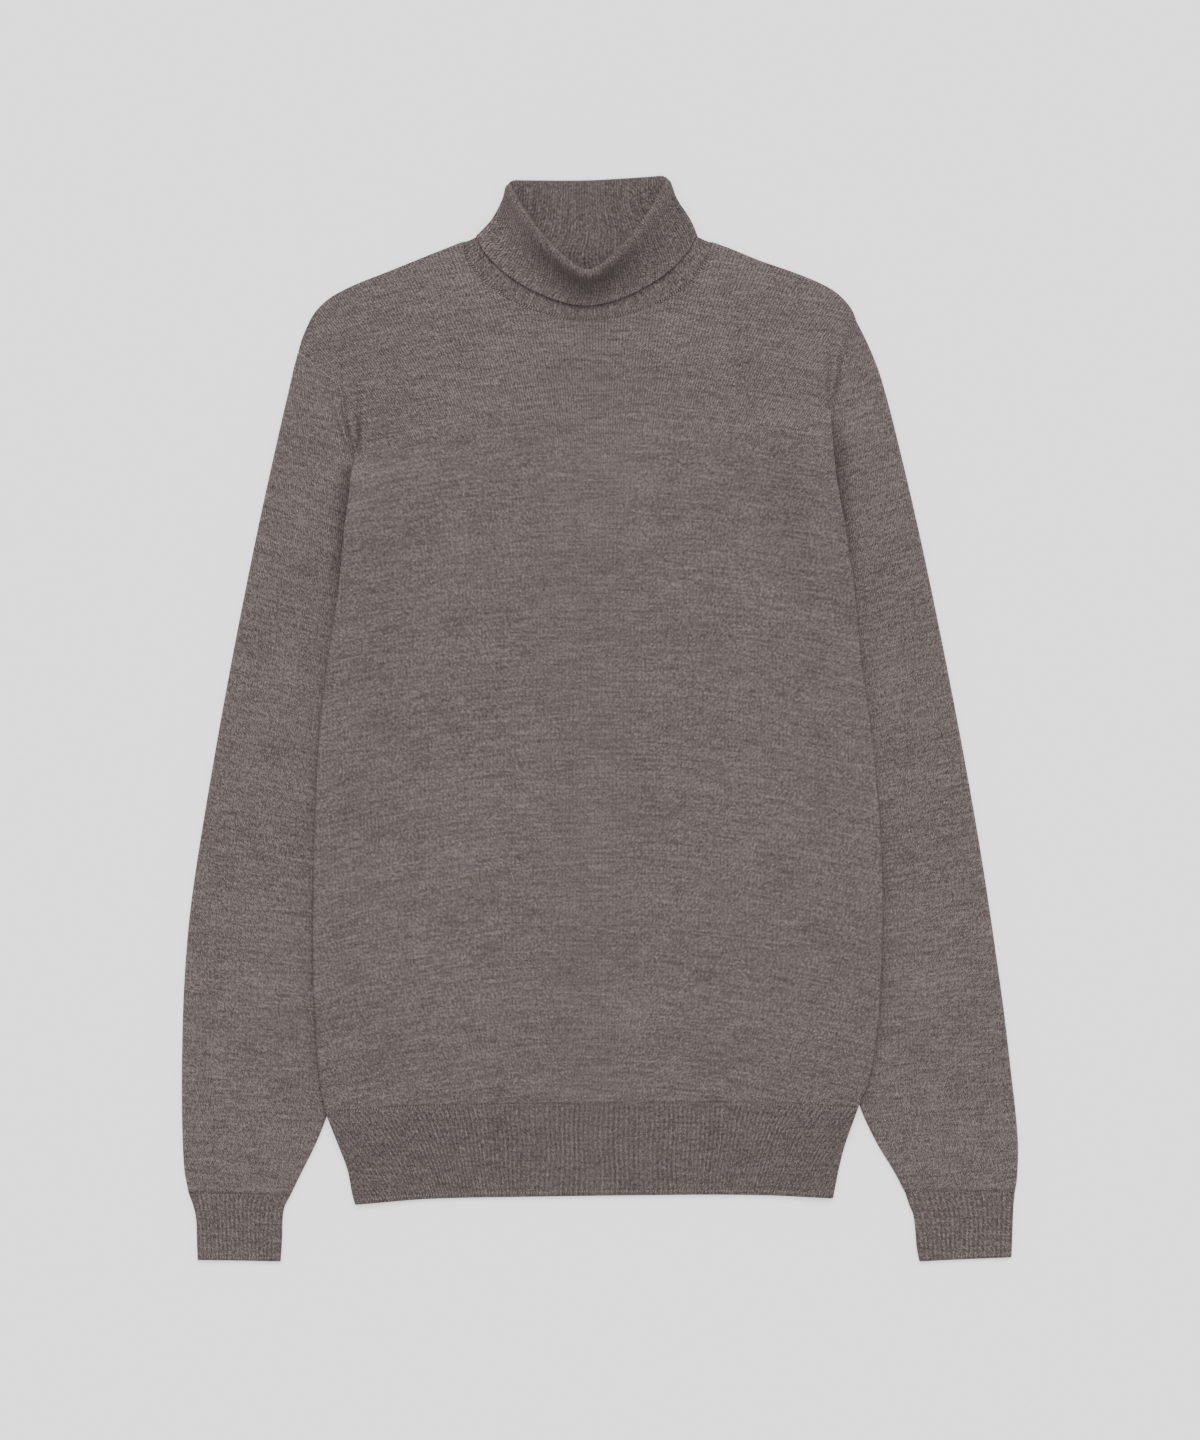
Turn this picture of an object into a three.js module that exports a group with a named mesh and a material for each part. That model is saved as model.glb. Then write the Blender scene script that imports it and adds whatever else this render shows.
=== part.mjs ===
// A turtleneck sweater in fine merino, laid flat on its back, face up, in millimetres. X runs across
// the chest, Y up towards the collar, Z up from the surface. The origin is under the middle.
//
// It is built from the ten pieces that a knitter links together: front and back panel, front and
// back hem rib, two sleeves, two rib cuffs and one rib collar, turned down over itself. Every piece
// is a wall of knit with two faces. The front lies on the back, and each sleeve and cuff is a tube
// pressed flat. The body's sides lie over the sleeves' inner edges. "Left" is at -X.
import * as THREE from "three";

// The knit
const WALL = 1.5; // thickness of one ply
const GAP = 0.3; // air at a seam and between two plies
const PLY = WALL + GAP; // from the middle of one ply to the middle of the next
const RIB_RISE = 0.5; // how far a rib stands out of the wall

// The body
const HEM_HEIGHT = 65;
const SIDE_RADIUS = 2; // half the rise of the soft fold down each side
const SIDE_LOFT_REACH = 50; // how far in from the side the two plies still stand apart
const TUCK_LIFT = 4.5; // how far a sleeve's edge lifts the body's side
const TUCK_FLAT = 20; // width of the strip that is lifted
const TUCK_REACH = 48; // where the body is down on the surface again
const NECK_LEFT = -101;
const NECK_RIGHT = 80.5;
const NECK_DEPTH_FRONT = 51.3;
const NECK_DEPTH_BACK = 18;
const NECK_BOW = 1.8; // exponent of the neckline's curve
const NECK_RISE = 2.4; // how far the collar pulls the front up
const NECK_RISE_REACH = 45;
const NECK_LEFT_Y = 342.5;
const NECK_RIGHT_Y = 343.5;

// The sleeves and cuffs
const SLEEVE_FOLD = 1.7; // radius of the soft outer fold
const SLEEVE_INNER_FOLD = 1.25; // radius of the edge under the body
const CUFF_FOLD = 1.3;
const SHOULDER_FOLD = 1.1; // radius of the fold where it meets the shoulder
const UNDERARM_GAP = 0.8; // extra air at the lowest point of the armhole seam
const FOLD_REACH = 26; // how far in from a sleeve's fold its plies stand apart

// Ribs across each band
const HEM_RIBS = 104;
const CUFF_RIBS = 21;
const COLLAR_RIBS_FRONT = 58;
const COLLAR_RIBS_BACK = 36;

const KNIT = { color: 0x766c6a, roughness: 0.95, metalness: 0 };
const RIB = { color: 0x6e6462, roughness: 0.95, metalness: 0 };

// The side edge of the body, from the hem rib up to the underarm, then up the armhole seam to the
// tip of the shoulder.
const BODY_LEFT = [
  { y: -283, x: -197.3 },
  { y: -255.5, x: -202 },
  { y: -216, x: -205 },
  { y: -165.5, x: -206.5 },
  { y: -108, x: -206 },
  { y: -57.5, x: -204.5 },
  { y: -7, x: -201.5 },
  { y: 43, x: -196 },
  { y: 86.5, x: -189 },
  { y: 137, x: -183.5 },
  { y: 188.5, x: -179.5 },
  { y: 212.5, x: -190 },
  { y: 229, x: -195 },
  { y: 242.5, x: -198.5 },
  { y: 256.5, x: -206 },
  { y: 265, x: -215.5 },
];
const BODY_RIGHT = [
  { y: -279.5, x: 185.5 },
  { y: -255.5, x: 194.5 },
  { y: -216, x: 200 },
  { y: -165.5, x: 203 },
  { y: -108, x: 203 },
  { y: -57.5, x: 200 },
  { y: -7, x: 195 },
  { y: 43, x: 188 },
  { y: 86.5, x: 184 },
  { y: 137, x: 176.5 },
  { y: 180, x: 169 },
  { y: 224.5, x: 166.5 },
  { y: 248.5, x: 171.5 },
  { y: 263, x: 173.5 },
  { y: 281.5, x: 178.5 },
  { y: 288.5, x: 184.5 },
];
const UNDERARM = { left: 188.5, right: 224.5 };
const TIP = { left: 265, right: 288.5 };

// The hem rib's sides and its lower edge.
const HEM_LEFT = [
  { y: -349, x: -176.5 },
  { y: -342, x: -178.5 },
  { y: -324, x: -182 },
  { y: -306, x: -188.5 },
  { y: -283, x: -197.3 },
];
const HEM_RIGHT = [
  { y: -344.5, x: 168 },
  { y: -324, x: 172 },
  { y: -306, x: 176.5 },
  { y: -279.5, x: 185.5 },
];
const HEM_EDGE = [
  { x: -176.5, y: -349 },
  { x: -123, y: -345 },
  { x: -53, y: -343.5 },
  { x: 72, y: -342 },
  { x: 123, y: -342.5 },
  { x: 168, y: -344.5 },
];

// The shoulder line, from its tip up to the neck.
const SHOULDER_LEFT = [
  { x: -215.5, y: 265 },
  { x: -214.5, y: 273.5 },
  { x: -211.5, y: 282 },
  { x: -206.5, y: 292 },
  { x: -200, y: 299.5 },
  { x: -191.5, y: 306 },
  { x: -175.5, y: 314 },
  { x: -154, y: 322.5 },
  { x: -125.5, y: 334 },
  { x: NECK_LEFT, y: 342.5 },
];
const SHOULDER_RIGHT = [
  { x: 184.5, y: 288.5 },
  { x: 181.5, y: 295.5 },
  { x: 177, y: 301.5 },
  { x: 170, y: 308 },
  { x: 159, y: 314.5 },
  { x: 139.5, y: 322.5 },
  { x: 115, y: 331 },
  { x: 93, y: 340 },
  { x: NECK_RIGHT, y: 343.5 },
];

// A sleeve's outer fold, its inner edge, which goes under the body's side, and its cuff.
const SLEEVE_LEFT = {
  side: -1,
  outer: [
    { y: 265, x: -215.5 },
    { y: 252, x: -221 },
    { y: 216, x: -229.5 },
    { y: 126, x: -249 },
    { y: 18, x: -270 },
    { y: -90, x: -288.5 },
    { y: -144, x: -296 },
    { y: -198, x: -300 },
    { y: -252, x: -301.3 },
    { y: -295, x: -301 },
    { y: -324, x: -299.5 },
    { y: -340.5, x: -296.5 },
  ],
  inner: [
    { y: 188.5, x: -179.9 },
    { y: 160, x: -182.2 },
    { y: 138, x: -178 },
    { y: 115, x: -173.5 },
    { y: 60, x: -178 },
    { y: 0, x: -184 },
    { y: -60, x: -188 },
    { y: -130, x: -190 },
    { y: -190, x: -189.5 },
    { y: -235, x: -189 },
    { y: -268, x: -191.5 },
    { y: -287.5, x: -197.5 },
    { y: -306, x: -205 },
    { y: -324, x: -214 },
    { y: -342.5, x: -223 },
  ],
  cuffOuter: [
    { y: -340.8, x: -296.3 },
    { y: -350, x: -293 },
    { y: -360, x: -291 },
    { y: -374.5, x: -290.5 },
    { y: -389, x: -290 },
  ],
  cuffInner: [
    { y: -342.8, x: -223.2 },
    { y: -350, x: -227 },
    { y: -358.5, x: -228.5 },
    { y: -374.5, x: -229 },
    { y: -390, x: -230 },
  ],
};
const SLEEVE_RIGHT = {
  side: 1,
  outer: [
    { y: 288.5, x: 184.5 },
    { y: 270.5, x: 193.5 },
    { y: 252, x: 201 },
    { y: 216, x: 211 },
    { y: 126, x: 232 },
    { y: 18, x: 254 },
    { y: -90, x: 273.5 },
    { y: -198, x: 289.5 },
    { y: -252, x: 296 },
    { y: -288, x: 300 },
    { y: -309.5, x: 301.3 },
    { y: -330, x: 300.5 },
    { y: -340, x: 299 },
  ],
  inner: [
    { y: 224.5, x: 166.9 },
    { y: 193.5, x: 171.3 },
    { y: 172, x: 166 },
    { y: 150, x: 161 },
    { y: 100, x: 168 },
    { y: 43, x: 174 },
    { y: -7, x: 180 },
    { y: -60, x: 184 },
    { y: -110, x: 187 },
    { y: -165, x: 187 },
    { y: -216, x: 184 },
    { y: -245, x: 182 },
    { y: -262, x: 183.5 },
    { y: -276, x: 186.5 },
    { y: -288, x: 191 },
    { y: -306, x: 200 },
    { y: -324, x: 211 },
    { y: -340, x: 219.5 },
  ],
  cuffOuter: [
    { y: -340.3, x: 298.8 },
    { y: -349, x: 298 },
    { y: -360, x: 297.5 },
    { y: -374.5, x: 297 },
    { y: -387, x: 296.5 },
  ],
  cuffInner: [
    { y: -340.3, x: 219.8 },
    { y: -350, x: 223 },
    { y: -356, x: 225.5 },
    { y: -367, x: 227 },
    { y: -379, x: 228 },
    { y: -390, x: 230 },
  ],
};

// Ridges of bunched cloth at the underarms: each runs from (x1, y1) to (x2, y2).
const RIDGES = [
  { x1: -195, y1: 240, x2: -189.5, y2: 206, width: 5, height: 1 },
  { x1: -176, y1: 246, x2: -173, y2: 192, width: 7, height: 2 },
  { x1: 172, y1: 266, x2: 171, y2: 234, width: 5, height: 1.3 },
  { x1: 158, y1: 274, x2: 159, y2: 228, width: 7, height: 2 },
];

// The collar's rings, along the cloth: up the stand, over the fold and down the turned-down layer
// to its free edge. A ring runs through a corner at each side, (xl, yl) and (xr, yr). Its front
// dips by dipF to height zF in the middle, its back by dipB to height zB. Its corners turn up
// through the radius r about the height zc. The stand starts from the neck seam below these rings.
const COLLAR = [
  { name: "low", yl: 346, xl: -87.6, yr: 347, xr: 68, dipF: 47.5, bow: 1.65, zF: 6, dipB: 12, zB: 2.55, zc: 4.45, r: 1.9 },
  { name: "mid", yl: 357.6, xl: -75.6, yr: 358.1, xr: 61.6, dipF: 49.2, bow: 1.55, zF: 8.5, dipB: 8.5, zB: 2.55, zc: 4.45, r: 1.9 },
  { name: "high", yl: 374, xl: -67.2, yr: 374.5, xr: 50.6, dipF: 57.5, bow: 1.5, zF: 16, dipB: 4.5, zB: 2.55, zc: 4.45, r: 1.9 },
  { name: "rim_in", yl: 385, xl: -60.7, yr: 386.2, xr: 43.1, dipF: 65.5, bow: 1.5, zF: 25, dipB: 2, zB: 2.55, zc: 4.45, r: 1.9 },
  { name: "crest", yl: 387.7, xl: -61.5, yr: 389.4, xr: 44.6, dipF: 69, bow: 1.5, zF: 30, dipB: 1.5, zB: 1.65, zc: 4.45, r: 2.8 },
  { name: "rim_out", yl: 385.5, xl: -63.4, yr: 387, xr: 46.5, dipF: 70.2, bow: 1.5, zF: 29, dipB: 2, zB: 0.75, zc: 4.45, r: 3.7 },
  { name: "drop", yl: 374, xl: -69.8, yr: 374.5, xr: 53.6, dipF: 61.7, bow: 1.5, zF: 21.5, dipB: 4.5, zB: 0.75, zc: 4.45, r: 3.7 },
  { name: "hollow", yl: 359, xl: -77.6, yr: 359.5, xr: 64.4, dipF: 51.7, bow: 1.52, zF: 13.5, dipB: 7, zB: 0.75, zc: 4.45, r: 3.7 },
  { name: "edge", yl: 347.3, xl: -90, yr: 348.5, xr: 70.4, dipF: 51.2, bow: 1.55, zF: 9.4, dipB: 8.5, zB: 0.75, zc: 4.45, r: 3.7 },
];
const FOLD_RING = 5; // the row of the crest, counted from the neck seam
const ARC_STEPS = 240; // fine steps along half a ring before it is divided evenly

const lerp = (a, b, t) => a + (b - a) * t;
const clamp01 = (t) => Math.min(1, Math.max(0, t));

// 0 before a, 1 after b, smooth between them. a may be above b.
function ease(a, b, value) {
  const t = clamp01((value - a) / (b - a));
  return t * t * (3 - 2 * t);
}

// The smooth value of column `want` where column `at` of a table has the given value.
function lookup(table, at, want, value) {
  const rising = table[table.length - 1][at] > table[0][at];
  const rows = rising ? table : [...table].reverse();
  const last = rows.length - 2;
  let i = 0;
  while (i < last && rows[i + 1][at] < value) i++;
  const slope = (k) => {
    const lo = Math.max(0, k - 1);
    const hi = Math.min(rows.length - 1, k + 1);
    return (rows[hi][want] - rows[lo][want]) / (rows[hi][at] - rows[lo][at]);
  };
  const span = rows[i + 1][at] - rows[i][at];
  const t = clamp01((value - rows[i][at]) / span);
  const a = (1 + 2 * t) * (1 - t) * (1 - t);
  const b = t * (1 - t) * (1 - t);
  const c = t * t * (3 - 2 * t);
  const d = t * t * (t - 1);
  return a * rows[i][want] + b * span * slope(i) + c * rows[i + 1][want] + d * span * slope(i + 1);
}

// The point at a share t of a table's length, as a smooth curve through its rows.
function along(table, t) {
  const curve = new THREE.SplineCurve(table.map((p) => new THREE.Vector2(p.x, p.y)));
  return curve.getPointAt(clamp01(t));
}

// A neckline between its two shoulder points, at c from -1 to 1 across.
function neckline(depth, c) {
  const x = lerp(NECK_LEFT, NECK_RIGHT, (c + 1) / 2);
  const top = lerp(NECK_LEFT_Y, NECK_RIGHT_Y, (c + 1) / 2);
  const dip = depth * Math.pow(Math.max(0, 1 - Math.pow(Math.abs(c), NECK_BOW)), 1 / NECK_BOW);
  return new THREE.Vector2(x, top - dip);
}

// A line moved sideways, to the left of the way it runs.
function moved(line, distance) {
  return line.map((p, k) => {
    const before = line[Math.max(0, k - 1)];
    const after = line[Math.min(line.length - 1, k + 1)];
    const step = Math.hypot(after.x - before.x, after.y - before.y);
    const x = p.x - ((after.y - before.y) / step) * distance;
    const y = p.y + ((after.x - before.x) / step) * distance;
    return new THREE.Vector2(x, y);
  });
}

// The point of a line of corners at a share t, where the corners stand at the given shares.
function between(line, shares, t) {
  let k = 0;
  while (k < shares.length - 2 && shares[k + 1] < t) k++;
  return line[k].clone().lerp(line[k + 1], clamp01((t - shares[k]) / (shares[k + 1] - shares[k])));
}

// The corners of a neckline from left to right, and the shares of the way across at which they are.
const NECK_STEPS = 12;
const NECK_SHARES = [];
for (let k = 0; k <= NECK_STEPS; k++) NECK_SHARES.push((1 - Math.cos((Math.PI * k) / NECK_STEPS)) / 2);
const neckCorners = (depth) => NECK_SHARES.map((s) => neckline(depth, 2 * s - 1));

// The corners of an armhole seam, from the underarm up to the tip of the shoulder.
const ARM_SHARES = [0, 0.12, 0.26, 0.4, 0.54, 0.68, 0.8, 0.9, 1];

function armCorners(side) {
  const table = side < 0 ? BODY_LEFT : BODY_RIGHT;
  const [arm, tip] = side < 0 ? [UNDERARM.left, TIP.left] : [UNDERARM.right, TIP.right];
  return ARM_SHARES.map((t) => {
    const y = lerp(arm, tip, t);
    return new THREE.Vector2(lookup(table, "y", "x", y), y);
  });
}

// The share of the front's full fold that a soft edge has given up at a distance in from it.
function edgeDrop(distance, radius) {
  const t = clamp01(1 - distance / radius);
  return 1 - Math.sqrt(1 - t * t);
}

// How much the underarm ridges raise the upper ply at a point.
function ridgeHeight(x, y) {
  let total = 0;
  for (const r of RIDGES) {
    const dx = r.x2 - r.x1;
    const dy = r.y2 - r.y1;
    const t = clamp01(((x - r.x1) * dx + (y - r.y1) * dy) / (dx * dx + dy * dy));
    const away = Math.hypot(x - r.x1 - t * dx, y - r.y1 - t * dy) / r.width;
    total += r.height * Math.exp(-away * away) * ease(0, 0.35, t);
  }
  return total;
}

// What a sleeve's edge under the body does to it at a height y: 1 where the sleeve lies under it.
function tucked(side, y) {
  const arm = side < 0 ? UNDERARM.left : UNDERARM.right;
  const leaves = side < 0 ? -291 : -281;
  return ease(arm, arm - 28, y) * ease(leaves - 32, leaves, y);
}

// 1 where the body's side is a fold, 0 where it is the armhole seam.
function folded(side, y) {
  const arm = side < 0 ? UNDERARM.left : UNDERARM.right;
  return ease(arm + 6, arm - 8, y);
}

// Height of the middle of the body's lower or upper ply. The distances are in from its side edges.
function bodyHeight(upper, x, y, fromLeft, fromRight) {
  const side = fromLeft < fromRight ? -1 : 1;
  const inset = Math.min(fromLeft, fromRight);
  const fold = folded(side, y);
  const base = WALL / 2 + TUCK_LIFT * tucked(side, y) * ease(TUCK_REACH, TUCK_FLAT, inset);
  const curl = fold * (SIDE_RADIUS - GAP / 2) * edgeDrop(inset, SIDE_RADIUS);
  if (!upper) return base + curl;
  const loft = fold * (2 * SIDE_RADIUS - PLY) * ease(SIDE_LOFT_REACH, 8, inset);
  const c = (2 * x - NECK_LEFT - NECK_RIGHT) / (NECK_RIGHT - NECK_LEFT);
  const below = Math.abs(c) < 1 ? neckline(NECK_DEPTH_FRONT, c).y - y : NECK_RISE_REACH;
  const pulled = NECK_RISE * Math.max(0, 1 - c * c) * ease(NECK_RISE_REACH, 0, below);
  return base + PLY + loft - curl + ridgeHeight(x, y) + pulled;
}

// Triangles of a wall about a grid of points, rows by columns. The outer face stands out by
// rise(row, column). The inner face may leave out columns, which keep(column) says. If the columns
// close on themselves, the wall is a tube. facing(row, column) may give the way that the wall faces
// at a seam.
function wall({ grid, closed = false, rise = () => 0, keep = () => true, outward = 1, facing = () => null }) {
  const rows = grid.length;
  const columns = grid[0].length;
  const at = (i, j) => {
    const row = grid[Math.min(rows - 1, Math.max(0, i))];
    return row[closed ? (j + columns) % columns : Math.min(columns - 1, Math.max(0, j))];
  };
  const positions = [];
  const put = (p) => positions.push(p.x, p.y, p.z) / 3 - 1;
  const outer = [];
  const inner = [];
  const kept = [];
  for (let j = 0; j < columns; j++) if (keep(j) || (!closed && (j === 0 || j === columns - 1))) kept.push(j);
  for (let i = 0; i < rows; i++) {
    const faces = { out: [], in: [] };
    for (let j = 0; j < columns; j++) {
      const across = new THREE.Vector3().subVectors(at(i, j + 1), at(i, j - 1));
      const down = new THREE.Vector3().subVectors(at(i + 1, j), at(i - 1, j));
      const normal = facing(i, j) ?? across.cross(down).normalize().multiplyScalar(outward);
      faces.out.push(put(at(i, j).clone().addScaledVector(normal, WALL / 2 + rise(i, j))));
      if (kept.includes(j)) faces.in.push(put(at(i, j).clone().addScaledVector(normal, -WALL / 2)));
    }
    outer.push(faces.out);
    inner.push(faces.in);
  }
  const index = [];
  const quad = (a, b, c, d) => index.push(a, b, c, a, c, d);
  const face = (lines, turned) => {
    const count = lines[0].length;
    for (let i = 0; i + 1 < rows; i++)
      for (let j = 0; j < (closed ? count : count - 1); j++) {
        const k = (j + 1) % count;
        const [a, b, c, d] = [lines[i][j], lines[i][k], lines[i + 1][k], lines[i + 1][j]];
        if (turned) quad(a, d, c, b);
        else quad(a, b, c, d);
      }
  };
  face(outer, outward < 0);
  face(inner, outward > 0);
  // The rim between a fine row of the outer face and a coarse row of the inner one
  const rim = (i, turned) => {
    const steps = closed ? columns : columns - 1;
    const coarse = closed ? [...kept, columns] : kept;
    const add = (a, b, c) => (turned ? index.push(a, c, b) : index.push(a, b, c));
    let k = 0;
    for (let j = 0; j < steps; j++) {
      add(outer[i][j], inner[i][k % kept.length], outer[i][(j + 1) % columns]);
      if (k + 1 < coarse.length && coarse[k + 1] - (j + 1) <= j + 1 - coarse[k]) {
        add(outer[i][(j + 1) % columns], inner[i][k % kept.length], inner[i][(k + 1) % kept.length]);
        k++;
      }
    }
  };
  rim(0, outward < 0);
  rim(rows - 1, outward > 0);
  if (!closed)
    for (let i = 0; i + 1 < rows; i++) {
      const [a, b, c, d] = [outer[i][0], inner[i][0], inner[i + 1][0], outer[i + 1][0]];
      const e = columns - 1;
      const f = kept.length - 1;
      const [g, h, k, l] = [outer[i][e], inner[i][f], inner[i + 1][f], outer[i + 1][e]];
      if (outward < 0) {
        quad(a, b, c, d);
        quad(g, l, k, h);
      } else {
        quad(a, d, c, b);
        quad(g, h, k, l);
      }
    }
  const geometry = new THREE.BufferGeometry();
  geometry.setAttribute("position", new THREE.Float32BufferAttribute(positions, 3));
  geometry.setIndex(index);
  geometry.computeVertexNormals();
  return geometry;
}

// Shares of the way across the body at which its columns stand: close together in the side folds.
const NECK_SHARE = { left: 0.286, right: 0.74 };
const SIDE_COLUMNS = [0, 0.0007, 0.0026, 0.0051, 0.012, 0.05, 0.068, 0.086, 0.104, 0.122, 0.2];

function bodyColumns() {
  const neck = NECK_SHARES.map((s) => lerp(NECK_SHARE.left, NECK_SHARE.right, s));
  return [...SIDE_COLUMNS, ...neck, ...SIDE_COLUMNS.map((s) => 1 - s).reverse()];
}

// The top edge of a body panel at a share s of the way across: shoulder, neckline, shoulder.
function topEdge(neckDepth, s) {
  const { left, right } = NECK_SHARE;
  if (s < left) return along(SHOULDER_LEFT, s / left);
  if (s > right) return along(SHOULDER_RIGHT, (1 - s) / (1 - right));
  const line = moved(neckCorners(neckDepth), -GAP / 2);
  return between(line, NECK_SHARES, (s - left) / (right - left));
}

// A side point of the body at a share r of the way up: the underarm is at UNDERARM_SHARE.
const UNDERARM_SHARE = 0.84;
const BODY_ROWS = [0, 0.1, 0.22, 0.36, 0.5, 0.62, 0.72, 0.78, 0.81];
for (const t of ARM_SHARES) BODY_ROWS.push(lerp(UNDERARM_SHARE, 1, t));

function sidePoint(side, r) {
  if (r >= UNDERARM_SHARE) {
    const line = moved(armCorners(side), (side * GAP) / 2);
    const p = between(line, ARM_SHARES, (r - UNDERARM_SHARE) / (1 - UNDERARM_SHARE));
    return p.setX(p.x - side * folded(side, p.y) * (WALL - GAP) * 0.5);
  }
  const table = side < 0 ? BODY_LEFT : BODY_RIGHT;
  const arm = side < 0 ? UNDERARM.left : UNDERARM.right;
  const y = lerp(table[0].y, arm, r / UNDERARM_SHARE);
  return new THREE.Vector2(lookup(table, "y", "x", y) - side * lerp(GAP / 2, WALL / 2, folded(side, y)), y);
}

// The straight line that a side edge runs near: from the underarm to the tip, the chord of its curve.
function sideGuide(side, r) {
  const t = (r - UNDERARM_SHARE) / (1 - UNDERARM_SHARE);
  return t > 0 ? sidePoint(side, UNDERARM_SHARE).lerp(sidePoint(side, 1), t) : sidePoint(side, r);
}

// The point at a share s of the way across the body, at a share r of the way up.
const EDGE_SHARE = 0.2; // where the shape of the side edge has faded away
const ARM_SPREAD = 0.005; // the side fold's close columns stand wider along the armhole

function chordPoint(s, r) {
  const point = sideGuide(-1, r).lerp(sideGuide(1, r), s);
  for (const [side, away] of [[-1, s], [1, 1 - s]]) {
    const edge = sidePoint(side, r).sub(sideGuide(side, r));
    point.addScaledVector(edge, Math.max(0, 1 - away / EDGE_SHARE));
  }
  return point;
}

// The seam between a panel and its hem rib at a share s of the way across.
function hemSeam(s) {
  const p = sidePoint(-1, 0).lerp(sidePoint(1, 0), s);
  const line = lerp(HEM_EDGE[0].y, HEM_EDGE[HEM_EDGE.length - 1].y, s);
  const edgeX = lerp(HEM_EDGE[0].x, HEM_EDGE[HEM_EDGE.length - 1].x, s);
  return p.setY(p.y + lookup(HEM_EDGE, "x", "y", edgeX) - line);
}

// The share at which a column stands at a share r of the way up.
function spread(s, r) {
  const open = (side) => 1 - folded(side, sidePoint(side, r).y);
  const near = (t) => ARM_SPREAD * Math.min(1, t / SIDE_COLUMNS[1]) * ease(0.04, 0.01, t);
  return s + near(s) * open(-1) - near(1 - s) * open(1);
}

// A point of a body panel seen from above. The top and bottom edges' shapes fade away from them.
function panelPoint(neckDepth, s, r) {
  const point = chordPoint(spread(s, r), r);
  if (s === 0 || s === 1) return point.setY(point.y + (r === 0 ? GAP / 2 : 0));
  const high = spread(s, 1);
  const fade = Math.pow(r, lerp(24, 3, ease(0, 0.12, Math.min(s, 1 - s))));
  const top = topEdge(neckDepth, high).sub(chordPoint(high, 1)).multiplyScalar(fade);
  const foot = hemSeam(s).sub(chordPoint(s, 0)).multiplyScalar(Math.pow(1 - r, 3));
  return point.add(top).add(foot).setY(point.y + (r === 0 ? GAP / 2 : 0));
}

// The way that a side edge of the body faces: out at the folded side, up or down at the armhole.
function sideFacing(side, y, upper) {
  const fold = folded(side, y);
  if (fold === 0) return null;
  return new THREE.Vector3(side * fold, 0, (upper ? 1 : -1) * (1 - fold)).normalize();
}

function panel(upper) {
  const neckDepth = upper ? NECK_DEPTH_FRONT : NECK_DEPTH_BACK;
  const grid = BODY_ROWS.map((r) => {
    const flat = bodyColumns().map((s) => panelPoint(neckDepth, s, r));
    const [left, right] = [flat[0].x, flat[flat.length - 1].x];
    return flat.map((p) => {
      const z = bodyHeight(upper, p.x, p.y, p.x - left, right - p.x);
      return new THREE.Vector3(p.x, p.y, z);
    });
  });
  const last = grid[0].length - 1;
  const facing = (i, j) => {
    if (j === 0 || j === last) return sideFacing(j === 0 ? -1 : 1, grid[i][j].y, upper);
    return i === BODY_ROWS.length - 1 ? new THREE.Vector3(0, 0, upper ? 1 : -1) : null;
  };
  return wall({ grid, outward: upper ? 1 : -1, facing });
}

// A hem rib from the panel's lower edge down to the bound-off edge. The front's ribs are raised.
const HEM_ROWS = [0, 0.3, 0.65, 1];
const HEM_MARGIN = 0.012;
const HEM_PLAIN = 26; // columns of the plain faces

function hem(upper) {
  const curl = SIDE_COLUMNS.slice(0, 4);
  const each = upper ? (2 * HEM_RIBS) / HEM_PLAIN : 1;
  const steps = HEM_PLAIN * each;
  const shares = [...curl];
  for (let k = 0; k <= steps; k++) shares.push(lerp(HEM_MARGIN, 1 - HEM_MARGIN, k / steps));
  shares.push(...curl.map((s) => 1 - s).reverse());
  const first = curl.length;
  const last = first + steps;
  const plain = (j) => j <= first || j >= last || (j - first) % each === 0;
  const grid = HEM_ROWS.map((t) => {
    const yl = lerp(HEM_LEFT[HEM_LEFT.length - 1].y, HEM_LEFT[0].y, t);
    const yr = lerp(HEM_RIGHT[HEM_RIGHT.length - 1].y, HEM_RIGHT[0].y, t);
    const left = lookup(HEM_LEFT, "y", "x", yl) + WALL / 2;
    const right = lookup(HEM_RIGHT, "y", "x", yr) - WALL / 2;
    const row = shares.map((s) => {
      const p = t === 0 ? hemSeam(s) : new THREE.Vector2(lerp(left, right, s), hemSeam(s).y);
      const y = p.y + lerp(yl - HEM_LEFT[HEM_LEFT.length - 1].y, yr - HEM_RIGHT[HEM_RIGHT.length - 1].y, s);
      return new THREE.Vector3(p.x, y - (t === 0 ? GAP / 2 : 0), 0);
    });
    const height = (j) => {
      const p = row[j];
      return bodyHeight(upper, p.x, p.y, p.x - row[0].x, row[row.length - 1].x - p.x);
    };
    row.forEach((p, j) => {
      const from = plain(j) ? j : j - ((j - first) % each);
      p.z = plain(j) ? height(j) : lerp(height(from), height(from + each), (j - from) / each);
    });
    return row;
  });
  const end = shares.length - 1;
  return wall({
    grid,
    outward: upper ? -1 : 1,
    rise: (i, j) => (upper && j > first && j < last && (j - first) % 2 === 1 ? RIB_RISE : 0),
    keep: plain,
    facing: (i, j) => (j === 0 || j === end ? new THREE.Vector3(j === 0 ? -1 : 1, 0, 0) : null),
  });
}

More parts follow.
